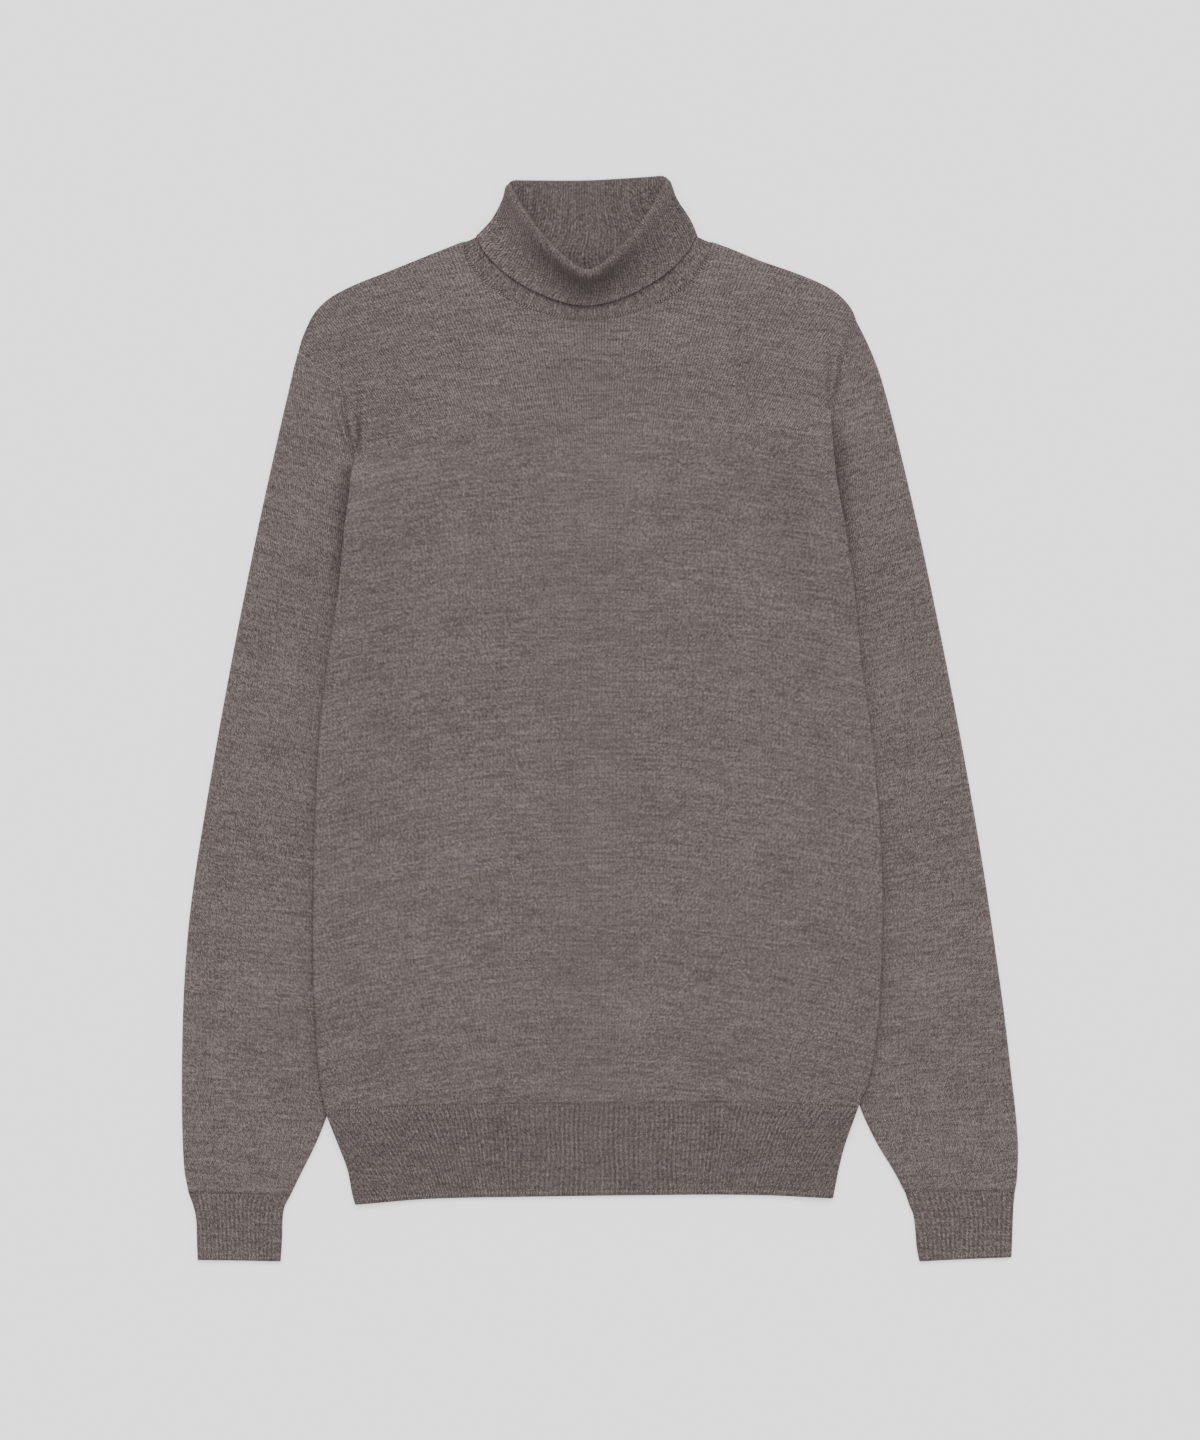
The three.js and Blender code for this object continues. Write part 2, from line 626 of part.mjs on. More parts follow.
// The ring of a pressed tube between an outer and an inner point, as shares across and plies.
// Going round: the outer fold, the upper ply, the inner fold and the lower ply.
function tubeStations(upperShares) {
  const foldAngles = [0, 30, 60, 90].map((a) => (a * Math.PI) / 180);
  const ring = [];
  for (const a of foldAngles) ring.push({ edge: "outer", angle: a, upper: true });
  for (const s of upperShares) ring.push({ share: s, upper: true });
  for (const a of [...foldAngles].reverse()) ring.push({ edge: "inner", angle: a, upper: true });
  for (const a of foldAngles.slice(1)) ring.push({ edge: "inner", angle: a, upper: false });
  const lower = upperShares.filter((s, k) => upperShares.length < 20 || k % 6 === 3);
  for (const s of [...lower].reverse()) ring.push({ share: s, upper: false });
  for (const a of foldAngles.slice(1).reverse()) ring.push({ edge: "outer", angle: a, upper: false });
  return ring;
}

// The sine of the angle at which a ring meets an edge of its tube.
function slant(table, y, across) {
  const rise = 8;
  const run = lookup(table, "y", "x", y + rise) - lookup(table, "y", "x", y - rise);
  const edge = new THREE.Vector2(run, 2 * rise).normalize();
  return Math.max(0.5, Math.abs(edge.cross(across.clone().normalize())));
}

// One ring of a pressed tube in space. `shape` bends the straight line between the two edge points.
function tubeRing({ stations, outer, inner, outerFold, innerFold, shape, raise, slants = [1, 1] }) {
  const reach = new THREE.Vector2().subVectors(inner, outer);
  const width = reach.length();
  return stations.map((station) => {
    const { edge, angle, share, upper } = station;
    const radius = edge === "outer" ? outerFold : innerFold;
    const sine = slants[edge === "outer" ? 0 : 1];
    const fromEdge = edge ? (WALL / 2 + radius * (1 - Math.cos(angle))) / sine : 0;
    const s = edge === "outer" ? fromEdge / width : edge === "inner" ? 1 - fromEdge / width : share;
    const p = outer.clone().addScaledVector(reach, s).add(shape(s));
    const apart =
      PLY +
      (2 * outerFold - PLY) * ease(FOLD_REACH, 4, s * width) +
      (2 * innerFold - PLY) * ease(FOLD_REACH, 4, (1 - s) * width);
    const turn = edge ? radius * (1 - Math.sin(angle)) : 0;
    const z = WALL / 2 + (upper ? apart + raise(p.x, p.y) * (1 - turn / SLEEVE_FOLD) - turn : turn);
    return new THREE.Vector3(p.x, p.y, z);
  });
}

const SLEEVE_SHARES = ARM_SHARES.slice(1, -1).map((t) => 1 - t).reverse();
const SLEEVE_ROWS = [0, 0.05, 0.09, 0.14, 0.2, 0.28, 0.4, 0.52, 0.64, 0.76, 0.86, 0.92, 0.96, 1];

function sleeve({ side, outer, inner }) {
  const seam = moved(armCorners(side), (-side * GAP) / 2);
  const [tip, arm] = [seam[seam.length - 1], seam[0]];
  arm.x += side * UNDERARM_GAP;
  const stations = tubeStations(SLEEVE_SHARES);
  const grid = SLEEVE_ROWS.map((q) => {
    const yo = lerp(outer[0].y, outer[outer.length - 1].y, q);
    // The rings fan out round the underarm
    const yi = lerp(inner[0].y, inner[inner.length - 1].y, q * (1 - 0.95 * Math.pow(1 - q, 6)));
    const fade = Math.pow(1 - q, 12);
    const shape = (s) => between(seam, ARM_SHARES, 1 - s).sub(tip.clone().lerp(arm, s)).multiplyScalar(fade);
    const ends = [[tip, outer, yo], [arm, inner, yi]].map(([start, table, y]) =>
      q === 0 ? start : new THREE.Vector2(lookup(table, "y", "x", y), y),
    );
    const across = ends[1].clone().sub(ends[0]);
    return tubeRing({
      stations,
      outer: ends[0],
      inner: ends[1],
      slants: [[outer, yo], [inner, yi]].map(([table, y]) =>
        lerp(1, slant(table, y, across), ease(0.01, 0.05, q)),
      ),
      outerFold: lerp(SHOULDER_FOLD, SLEEVE_FOLD, ease(0, 0.08, q)),
      innerFold: SLEEVE_INNER_FOLD,
      shape,
      raise: ridgeHeight,
    });
  });
  return wall({ grid, closed: true, outward: side });
}

const CUFF_ROWS = [0, 0.25, 0.6, 1];

function cuff({ side, cuffOuter, cuffInner }) {
  const shares = [];
  const margin = 0.06;
  for (let k = 0; k <= 2 * CUFF_RIBS; k++) shares.push(lerp(margin, 1 - margin, k / (2 * CUFF_RIBS)));
  const stations = tubeStations(shares);
  const first = stations.findIndex((station) => station.share !== undefined);
  const last = first + 2 * CUFF_RIBS;
  const grid = CUFF_ROWS.map((q) => {
    const yo = lerp(cuffOuter[0].y, cuffOuter[cuffOuter.length - 1].y, q);
    const yi = lerp(cuffInner[0].y, cuffInner[cuffInner.length - 1].y, q);
    return tubeRing({
      stations,
      outer: new THREE.Vector2(lookup(cuffOuter, "y", "x", yo), yo),
      inner: new THREE.Vector2(lookup(cuffInner, "y", "x", yi), yi),
      outerFold: lerp(SLEEVE_FOLD, CUFF_FOLD, q),
      innerFold: lerp(SLEEVE_INNER_FOLD, CUFF_FOLD, q),
      shape: () => new THREE.Vector2(),
      raise: () => 0,
    });
  });
  return wall({
    grid,
    closed: true,
    outward: side,
    rise: (i, j) => (j > first && j < last && (j - first) % 2 === 1 ? RIB_RISE : 0),
    keep: (j) => j <= first || j >= last || (j - first) % 6 === 0,
  });
}

// How far the cloth at an angle round the collar has turned from its back (-1) to its front (1).
function turnAt(angle, radius) {
  const front = -Math.sin(angle);
  return front / Math.hypot(front, 0.05 + 0.025 * radius);
}

// A point of a collar ring at an angle: 0 is the right corner, the front has a negative sine.
function collarPoint(ring, angle) {
  const c = Math.cos(angle);
  const turn = turnAt(angle, ring.r);
  const across = (c + 1) / 2;
  const curve = Math.pow(Math.max(0, 1 - Math.pow(Math.abs(c), ring.bow)), 1 / ring.bow);
  const dip = lerp(ring.dipB, ring.dipF, (turn + 1) / 2);
  const middle = Math.max(0, 1 - c * c);
  const front = ring.zF - ring.zc - ring.r;
  const back = ring.zB - ring.zc + ring.r;
  return new THREE.Vector3(
    lerp(ring.xl, ring.xr, across),
    lerp(ring.yl, ring.yr, across) - dip * curve,
    ring.zc + turn * ring.r + (turn > 0 ? front * middle : back * Math.sqrt(middle)),
  );
}

// The way out of the collar at the neck seam. Its tube is folded at the two shoulder points.
function rootFacing(angle) {
  const turn = turnAt(angle, PLY / 2);
  const open = Math.sqrt(1 - turn * turn);
  return new THREE.Vector3(Math.sign(Math.cos(angle)) * 0.36 * open, 0.93 * open, turn);
}

// A point of the collar's lower edge, on the same corners as the necklines of the two panels.
function rootPoint(angle) {
  const turn = turnAt(angle, PLY / 2);
  const upper = turn > 0;
  const share = (Math.cos(angle) + 1) / 2;
  const line = neckCorners(upper ? NECK_DEPTH_FRONT : NECK_DEPTH_BACK);
  const p = between(moved(line, GAP / 2 + 0.4 * Math.sqrt(1 - turn * turn)), NECK_SHARES, share);
  const heights = line.map((q) => new THREE.Vector2(q.x, bodyHeight(upper, q.x, q.y, 150, 150)));
  const z = between(heights, NECK_SHARES, share).y;
  const inset = rootFacing(angle).setZ(0).multiplyScalar(-WALL / 2);
  return new THREE.Vector3(p.x, p.y, upper ? lerp(0.75 + PLY / 2, z, turn) : lerp(0.75 + PLY / 2, z, -turn)).add(inset);
}

// The angles of points at even steps along an arc of a ring.
function evenAngles(point, from, to, count) {
  const fine = [];
  for (let k = 0; k <= ARC_STEPS; k++) fine.push(point(lerp(from, to, k / ARC_STEPS)));
  const length = [0];
  for (let k = 1; k < fine.length; k++) length.push(length[k - 1] + fine[k].distanceTo(fine[k - 1]));
  const angles = [];
  let k = 0;
  for (let n = 0; n < count; n++) {
    const want = (length[ARC_STEPS] * n) / count;
    while (length[k + 1] < want) k++;
    const t = (k + (want - length[k]) / (length[k + 1] - length[k])) / ARC_STEPS;
    angles.push(lerp(from, to, t));
  }
  return angles;
}

function collar() {
  const frontSteps = 2 * COLLAR_RIBS_FRONT;
  const backSteps = 2 * COLLAR_RIBS_BACK;
  const points = [rootPoint, ...COLLAR.map((ring) => (angle) => collarPoint(ring, angle))];
  const angles = points.map((point) => [
    ...evenAngles(point, -Math.PI, 0, frontSteps),
    ...evenAngles(point, 0, Math.PI, backSteps),
  ]);
  const grid = points.map((point, i) => angles[i].map(point));
  const cornerSteps = 6;
  const nearCorner = (j) =>
    Math.min(j, Math.abs(j - frontSteps), frontSteps + backSteps - j) <= cornerSteps;
  return wall({
    grid,
    closed: true,
    outward: -1,
    rise: (i, j) => {
      const shows = j <= frontSteps ? i >= FOLD_RING - 2 : i <= FOLD_RING && i > 0;
      return shows && j % 2 === 1 ? RIB_RISE : 0;
    },
    keep: (j) => nearCorner(j) || j % 4 === 0,
    facing: (i, j) => (i === 0 ? rootFacing(angles[0][j]).negate() : null),
  });
}

function piece(name, geometry, finish) {
  const mesh = new THREE.Mesh(geometry, new THREE.MeshStandardMaterial(finish));
  mesh.name = name;
  return mesh;
}

const sweater = new THREE.Group();
sweater.add(
  piece("back", panel(false), KNIT),
  piece("front", panel(true), KNIT),
  piece("hem_back", hem(false), RIB),
  piece("hem_front", hem(true), RIB),
  piece("sleeve_left", sleeve(SLEEVE_LEFT), KNIT),
  piece("sleeve_right", sleeve(SLEEVE_RIGHT), KNIT),
  piece("cuff_left", cuff(SLEEVE_LEFT), RIB),
  piece("cuff_right", cuff(SLEEVE_RIGHT), RIB),
  piece("collar", collar(), RIB),
);

export default sweater;
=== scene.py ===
# %% [markdown]
# # A turtleneck sweater, laid flat
# The real garment is knitted in fine wool on a flat machine. Nine shaped pieces are linked loop by
# loop: two panels, two hem ribs, two sleeves, two cuffs and one long rib that becomes the collar.
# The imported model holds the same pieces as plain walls. Each cell below makes one of them again as
# finely modelled cloth, in metres and in the same place.

# %% Load the frame
import math
from functools import partial

import bpy
import numpy as np
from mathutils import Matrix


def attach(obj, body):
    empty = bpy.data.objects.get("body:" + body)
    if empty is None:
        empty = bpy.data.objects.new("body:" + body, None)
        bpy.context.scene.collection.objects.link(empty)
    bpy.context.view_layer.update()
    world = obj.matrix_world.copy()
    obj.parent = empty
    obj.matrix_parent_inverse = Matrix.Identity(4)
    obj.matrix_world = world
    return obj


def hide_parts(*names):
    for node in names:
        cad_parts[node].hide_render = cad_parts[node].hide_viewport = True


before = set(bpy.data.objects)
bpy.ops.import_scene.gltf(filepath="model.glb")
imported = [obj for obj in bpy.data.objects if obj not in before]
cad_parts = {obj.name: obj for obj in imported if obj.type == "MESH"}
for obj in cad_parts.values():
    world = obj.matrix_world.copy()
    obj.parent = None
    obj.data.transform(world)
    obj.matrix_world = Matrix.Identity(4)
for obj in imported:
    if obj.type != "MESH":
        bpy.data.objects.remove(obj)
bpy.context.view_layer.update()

MM = 0.001  # the tables are in millimetres of the real garment, and the meshes in metres

# %% [markdown]
# ## Camera, floor and light
# The garment lies on a table and the camera hangs straight above it. A long lens far away keeps the
# outline free of perspective. The table glows a little, so that no shadow shows on it. Most of the
# light is an even pale surround. The rest is a broad soft source beyond the collar, so a slope that
# falls towards the hem is darker.

# %% Camera, floor and light
VIEW_HEIGHT = 1.0368  # what the frame shows from top to bottom, at the height of the cloth
CLOTH_LEVEL = 0.004
CAMERA_RISE = 3.0
SENSOR = 36
SURROUND = 0.84
KEY_STRENGTH = 2.27
KEY_TILT, KEY_BREADTH = math.radians(36), math.radians(40)
FLOOR_SIZE, FLOOR_GREY, FLOOR_GLOW = 8, 0.9, 0.75
WHITE = (1, 1, 1, 1)


def placed(name, data):
    """A new object of the scene."""
    made = bpy.data.objects.new(name, data)
    bpy.context.collection.objects.link(made)
    return made


def set_inputs(shader, look):
    for key_name, value in look.items():
        shader.inputs[key_name].default_value = value


camera_data = bpy.data.cameras.new("overhead")
camera_data.sensor_width = SENSOR
camera_data.lens = SENSOR * CAMERA_RISE / VIEW_HEIGHT
camera = placed("overhead", camera_data)
camera.location = (0, 0, CLOTH_LEVEL + CAMERA_RISE)
bpy.context.scene.camera = camera

bpy.ops.mesh.primitive_plane_add(size=FLOOR_SIZE)
floor = bpy.context.object
floor.name = "floor"
floor_paint = bpy.data.materials.new("pale_floor")
floor_paint.use_nodes = True
set_inputs(floor_paint.node_tree.nodes["Principled BSDF"], {
    "Base Color": (FLOOR_GREY, FLOOR_GREY, FLOOR_GREY, 1), "Roughness": 0.95, "Specular IOR Level": 0.1,
    "Emission Color": WHITE, "Emission Strength": FLOOR_GLOW,
})
floor.data.materials.append(floor_paint)

world = bpy.data.worlds.new("pale_surround")
world.use_nodes = True
set_inputs(world.node_tree.nodes["Background"], {"Color": WHITE, "Strength": SURROUND})
bpy.context.scene.world = world

key_data = bpy.data.lights.new("soft_key", "SUN")
key_data.energy = KEY_STRENGTH
key_data.angle = KEY_BREADTH
key = placed("soft_key", key_data)
key.location = (0, 1.5, 2.1)
key.rotation_euler = (-KEY_TILT, 0, 0)
print("camera", tuple(camera.location), "lens", round(camera_data.lens, 1))

# %% [markdown]
# ## The garment's measurements
# A knitter's schema gives a width at each height. These tables do the same for the outline as it
# lies: short columns, from which a smooth curve is worked out. Left is at -X in the view from above.

# %% The garment's measurements
CLOTH = 1.3  # thickness of the knit
WALL, GAP = 1.5, 0.3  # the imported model's wall, and the gap between its pieces
PLY = WALL + GAP  # from the middle of one ply to the middle of the next
LEVEL = WALL / 2  # height of the middle of the lowest ply

BODY = {
    -1: dict(
        y=[-283, -255.5, -216, -165.5, -108, -57.5, -7, 43, 86.5, 137, 160, 180, 190, 201,
           212.5, 227, 240, 250, 257.5, 265],
        x=[-197.3, -202, -205, -206.5, -206, -204.5, -201.5, -196, -189, -183.5, -180.3, -178.4, -176.4,
           -179.6, -182.4, -185.2, -187.6, -198.5, -207.8, -217.4],
    ),
    1: dict(
        y=[-279.5, -255.5, -216, -165.5, -108, -57.5, -7, 43, 86.5, 137, 180, 224.5, 248.5,
           263, 281.5, 288.5],
        x=[185.5, 194.5, 200, 203, 203, 200, 195, 188, 184, 176.5, 169, 166.5, 171.5, 173.5, 178.5, 184.5],
    ),
}
UNDERARM = {-1: 190, 1: 224.5}
TIP = {-1: 265, 1: 288.5}  # of the shoulders
FOOT = {-1: -283, 1: -279.5}  # of the sides, at the hem's seam
SLEEVE_LEAVES = {-1: -291, 1: -281}  # where the sleeves part from the body again

HEM_SIDE = {
    -1: dict(y=[-349, -342, -324, -306, -283], x=[-176.5, -178.5, -182, -188.5, -197.3]),
    1: dict(y=[-344.5, -324, -306, -279.5], x=[168, 172, 176.5, 185.5]),
}
HEM_EDGE = dict(x=[-176.5, -123, -53, 72, 123, 168], y=[-349, -345, -343.5, -342, -342.5, -344.5])

SHOULDER = {
    -1: dict(
        x=[-217.4, -215, -211.6, -206.5, -200, -191.5, -175.5, -154, -125.5, -98.5],
        y=[265, 273.5, 282, 292, 299.5, 306, 314, 322.5, 334, 344.8],
    ),
    1: dict(
        x=[184.5, 181.5, 177, 170, 159, 139.5, 115, 93, 80.5],
        y=[288.5, 295.5, 301.5, 308, 314.5, 322.5, 331, 340, 344.5],
    ),
}
NECK = {-1: (-98.5, 344.8), 1: (80.5, 344.5)}
NECK_BOW = 1.8
NECK_DEPTH = {True: 56.3, False: 26}  # front, back

SLEEVE = {
    -1: dict(
        outer=dict(
            y=[265, 252, 216, 126, 18, -90, -144, -198, -252, -295, -324, -340.5],
            x=[-217.9, -221.3, -229.5, -249, -270, -288.5, -296, -300, -301.3, -301, -299.5, -296.5],
        ),
        inner=dict(
            y=[190, 183, 174, 160, 138, 115, 60, 0, -60, -130, -190, -235,
               -268, -287.5, -306, -324, -342.5],
            x=[-176.4, -175.6, -174, -173, -172.5, -173, -178, -184, -188, -190, -189.5, -189,
               -191.5, -197.5, -205, -214, -223],
        ),
        cuff_outer=dict(y=[-340.8, -350, -360, -374.5, -389], x=[-296.3, -293, -291, -290.5, -290]),
        cuff_inner=dict(y=[-342.8, -350, -358.5, -374.5, -390], x=[-223.2, -227, -228.5, -229, -230]),
    ),
    1: dict(
        outer=dict(
            y=[288.5, 270.5, 252, 216, 126, 18, -90, -198, -252, -288, -309.5, -330, -340],
            x=[184.5, 193.5, 201, 211, 232, 254, 273.5, 289.5, 296, 300, 301.3, 300.5, 299],
        ),
        inner=dict(
            y=[224.5, 217, 208, 193.5, 172, 150, 100, 43, -7, -60, -110, -165, -216, -245, -262,
               -276, -288, -306, -324, -340],
            x=[166.5, 165.4, 163.5, 161.5, 160.5, 160, 167, 174, 180, 184, 187, 187, 184, 182,
               183.5, 186.5, 191, 200, 211, 219.5],
        ),
        cuff_outer=dict(y=[-340.3, -349, -360, -374.5, -387], x=[298.8, 298, 297.5, 297, 296.5]),
        cuff_inner=dict(y=[-340.3, -350, -356, -367, -379, -390], x=[219.8, 223, 225.5, 227, 228, 230]),
    ),
}


def ease(a, b, value):
    """0 before a and 1 after b, smooth between them. a may be above b."""
    t = np.clip((value - a) / (b - a), 0, 1)
    return t * t * (3 - 2 * t)


def lerp(a, b, t):
    return a + (b - a) * t


def read(table, value, at="y", want="x"):
    """The smooth value of one column of a table where another column has the given value."""
    a, w = np.array(table[at], float), np.array(table[want], float)
    if a[-1] < a[0]:
        a, w = a[::-1], w[::-1]
    slope = np.gradient(w)
    slope[1:-1] = (w[2:] - w[:-2]) / (a[2:] - a[:-2])
    slope[0], slope[-1] = (w[1] - w[0]) / (a[1] - a[0]), (w[-1] - w[-2]) / (a[-1] - a[-2])
    i = np.clip(np.searchsorted(a, value) - 1, 0, len(a) - 2)
    span = a[i + 1] - a[i]
    t = np.clip((value - a[i]) / span, 0, 1)
    return (
        (1 + 2 * t) * (1 - t) ** 2 * w[i]
        + t * (1 - t) ** 2 * span * slope[i]
        + t * t * (3 - 2 * t) * w[i + 1]
        + t * t * (t - 1) * span * slope[i + 1]
    )


def along(table, t):
    """The points at shares t of the length of a table's smooth curve."""
    x, y = np.array(table["x"], float), np.array(table["y"], float)
    reach = np.concatenate([[0], np.cumsum(np.hypot(np.diff(x), np.diff(y)))])
    fine = np.linspace(0, reach[-1], 400)
    fx, fy = (read(dict(y=reach, x=w), fine) for w in (x, y))
    length = np.concatenate([[0], np.cumsum(np.hypot(np.diff(fx), np.diff(fy)))])
    want = np.clip(t, 0, 1) * length[-1]
    return np.interp(want, length, fx), np.interp(want, length, fy)


print("outline tables for the sides", sorted(BODY))

# %% [markdown]
# ## A wall of knit
# Each piece is a grid of points on the middle of the cloth. The helper below gives it two faces and
# rounded rims, with two maps: `cloth`, in metres, carries the yarn's streaks, and `stitch`
# counts the loops, across and along. A rib fabric bulges in and out as one, so the ribs are raised
# later, by Geometry Nodes, along the direction `out` that this helper stores.

# %% A wall of knit
ROUNDING = 0.6  # how far in from a free edge the knit is still rounded
EDGE_THICKNESS = 0.35  # how thick it is at the edge itself, as a share
SURFACE = {}  # the outer face of each piece, in rows and columns, for the seams


def wall(
    name, grid, cloth, stitch, closed=False, outward=1, facing=None, rib=0, thick=CLOTH / 2, tone=1,
):
    """A closed mesh about a grid of points in millimetres, rows by columns."""
    rows, cols = grid.shape[:2]
    if closed:
        across = np.roll(grid, -1, 1) - np.roll(grid, 1, 1)
    else:
        across = np.gradient(grid, axis=1)
    normal = np.cross(across, np.gradient(grid, axis=0)) * outward
    normal /= np.maximum(np.linalg.norm(normal, axis=2, keepdims=True), 1e-9)
    if facing is not None:
        normal = np.where(np.isnan(facing), normal, facing)
    filled = np.ones((rows, cols))
    offset = normal * (thick * filled)[..., None]
    SURFACE[name] = grid + offset
    points = np.concatenate([(grid + offset).reshape(-1, 3), (grid - offset).reshape(-1, 3)])

    quads = []

    def add(*corners):
        """Quads between four corners, each a row, a column and a face: 0 is the outer, 1 the inner."""
        table = np.stack([np.stack(np.broadcast_arrays(*corner)).reshape(3, -1) for corner in corners], -1)
        quads.append(table if outward > 0 else table[..., [0, 3, 2, 1]])

    i, j = np.meshgrid(np.arange(rows - 1), np.arange(cols if closed else cols - 1), indexing="ij")
    add((i, j, 0), (i, j + 1, 0), (i + 1, j + 1, 0), (i + 1, j, 0))
    add((i, j, 1), (i + 1, j, 1), (i + 1, j + 1, 1), (i, j + 1, 1))
    n, last = j[0], rows - 1
    add((0, n, 0), (0, n, 1), (0, n + 1, 1), (0, n + 1, 0))
    add((last, n + 1, 0), (last, n + 1, 1), (last, n, 1), (last, n, 0))
    if not closed:
        n, last = i[:, 0], cols - 1
        add((n + 1, 0, 0), (n + 1, 0, 1), (n, 0, 1), (n, 0, 0))
        add((n, last, 0), (n, last, 1), (n + 1, last, 1), (n + 1, last, 0))
    row, column, face = np.concatenate(quads, 1)
    vertex = (face * rows + row) * cols + column % cols

    mesh = bpy.data.meshes.new(name)
    mesh.vertices.add(len(points))
    mesh.vertices.foreach_set("co", (points * MM).ravel())
    mesh.loops.add(vertex.size)
    mesh.loops.foreach_set("vertex_index", vertex.ravel().astype(np.int32))
    mesh.polygons.add(len(vertex))
    mesh.polygons.foreach_set("loop_start", np.arange(0, vertex.size, 4, dtype=np.int32))
    # the rims stay flat, so that two pieces which meet at a seam shade as one
    mesh.polygons.foreach_set("use_smooth", np.arange(len(vertex)) < 2 * i.size)
    for layer, table, unit in (("cloth", cloth, MM), ("stitch", stitch, 1)):
        wide = np.concatenate([table, 2 * table[:, -1:] - table[:, -2:-1]], 1) if closed else table
        uv = wide[row.ravel(), column.ravel()] * unit
        mesh.uv_layers.new(name=layer).data.foreach_set("uv", uv.ravel())
    mesh.update()
    mesh.validate()
    store = mesh.attributes.new("out", "FLOAT_VECTOR", "POINT")
    store.data.foreach_set("vector", np.concatenate([normal.reshape(-1, 3)] * 2).ravel())
    for key_name, values in (("wale", stitch[..., 0]), ("rib", rib * filled), ("tone", tone * filled)):
        store = mesh.attributes.new(key_name, "FLOAT", "POINT")
        store.data.foreach_set("value", np.concatenate([values.ravel()] * 2))
    print(f"{name}: {len(points)} points, {len(vertex)} faces")
    return placed(name, mesh)


def edged(distance):
    """Half the knit's thickness, at a distance from a free edge."""
    return CLOTH / 2 * np.minimum(1, EDGE_THICKNESS + distance / ROUNDING)


def spaced(length, first, last=None):
    """Distances from 0 to a length whose steps grow or shrink evenly from one size to another."""
    last = first if last is None else last
    count = max(2, round(2 * length / (first + last)))
    steps = np.linspace(first, last, count)
    return np.concatenate([[0], np.cumsum(steps)]) * length / steps.sum()


def two_spacings(share, first, second):
    """Shares from 0 to 1: the first step holds up to a certain share, and the second after it."""
    return np.concatenate([lerp(0, share, spaced(1, first)), lerp(share, 1, spaced(1, second))[1:]])


# %% [markdown]
# ## How the cloth lies
# The front lies on the back. Along each side the panel turns over softly, and the sleeve's inner
# edge lies under it and lifts it. At the underarm the spare cloth is pinched into small tucks:
# these are the creases, each a furrow along a short line, in cloth that stands up a little.

# %% How the cloth lies
SIDE_RADIUS = 2.0
SIDE_LOFT_REACH, SIDE_LOFT_FULL = 50, 8
TUCK_LIFT = 4.5
TUCK_REACH, TUCK_FLAT = 48, 20
BODY_BULGE, SLEEVE_BULGE = 9, 11
BULGE_REACH, BULGE_FULL = 95, 10
BULGE_LOW, BULGE_LENGTH = 36, 60  # how far below an underarm the bulge is highest, and how long it is
NECK_PULL, NECK_PULL_REACH = 2.4, 45  # how far the collar lifts the front below it

CREASES = [  # each from its faint end down to the underarm
    dict(x=[-187.4, -186, -183.6, -180, -176.6], y=[241, 232, 216, 202, 190], depth=4.4, width=1.8),
    dict(x=[-174.4, -173.6, -173.4, -175], y=[243, 224, 203, 188], depth=3.8, width=2),
    dict(x=[-198, -194.6, -190, -183.8, -177.8], y=[241, 227, 212.5, 199.5, 190], depth=3, width=2),
    dict(x=[172.8, 172.4, 171.4, 168.6, 166.2], y=[270, 256, 243.5, 232, 223], depth=3.6, width=1.9),
    dict(x=[165.2, 164.2, 164.4, 165.8], y=[272, 256, 238, 224], depth=2.8, width=1.9),
]
PINCHES = [  # where the cloth at an underarm stands up
    dict(x=-178, y=206, wide=14, high=30, rise=4.2),
    dict(x=168, y=243, wide=11, high=28, rise=3.4),
]


def folded(side, y):
    """1 where the body's side is a fold, 0 where it is the armhole seam."""
    return ease(UNDERARM[side] + 6, UNDERARM[side] - 8, y)


def tucked(side, y):
    """1 where the sleeve lies under the body's side."""
    leaves = SLEEVE_LEAVES[side]
    return ease(UNDERARM[side] + 3, UNDERARM[side] - 20, y) * ease(leaves - 32, leaves, y)


def full(side, y):
    """1 below an underarm, where the body and the sleeve both bulge and a valley runs between them."""
    above = y - UNDERARM[side]
    return ease(2, -22, above) * np.exp(-(((above + BULGE_LOW) / BULGE_LENGTH) ** 2))


def line_distance(x, y, xs, ys):
    """How far points are from a line of corners, and how far along it they are, from 0 to 1."""
    best, share = np.full(np.shape(x), 1e9), np.zeros(np.shape(x))
    for n in range(len(xs) - 1):
        dx, dy = xs[n + 1] - xs[n], ys[n + 1] - ys[n]
        t = np.clip(((x - xs[n]) * dx + (y - ys[n]) * dy) / (dx * dx + dy * dy), 0, 1)
        away = np.hypot(x - xs[n] - t * dx, y - ys[n] - t * dy)
        share = np.where(away < best, (n + t) / (len(xs) - 1), share)
        best = np.minimum(best, away)
    return best, share


def pinched(x, y):
    """How far the spare cloth at the underarms stands up, with its creases, in both pieces there."""
    rise = 0
    for p in PINCHES:
        away = ((x - p["x"]) / p["wide"]) ** 2 + ((y - p["y"]) / p["high"]) ** 2
        rise = rise + p["rise"] * np.exp(-away)
    for crease in CREASES:
        away, t = line_distance(x, y, crease["x"], crease["y"])
        rise = rise - crease["depth"] * np.exp(-((away / crease["width"]) ** 2)) * ease(0, 0.3, t)
    return np.maximum(rise, 0)


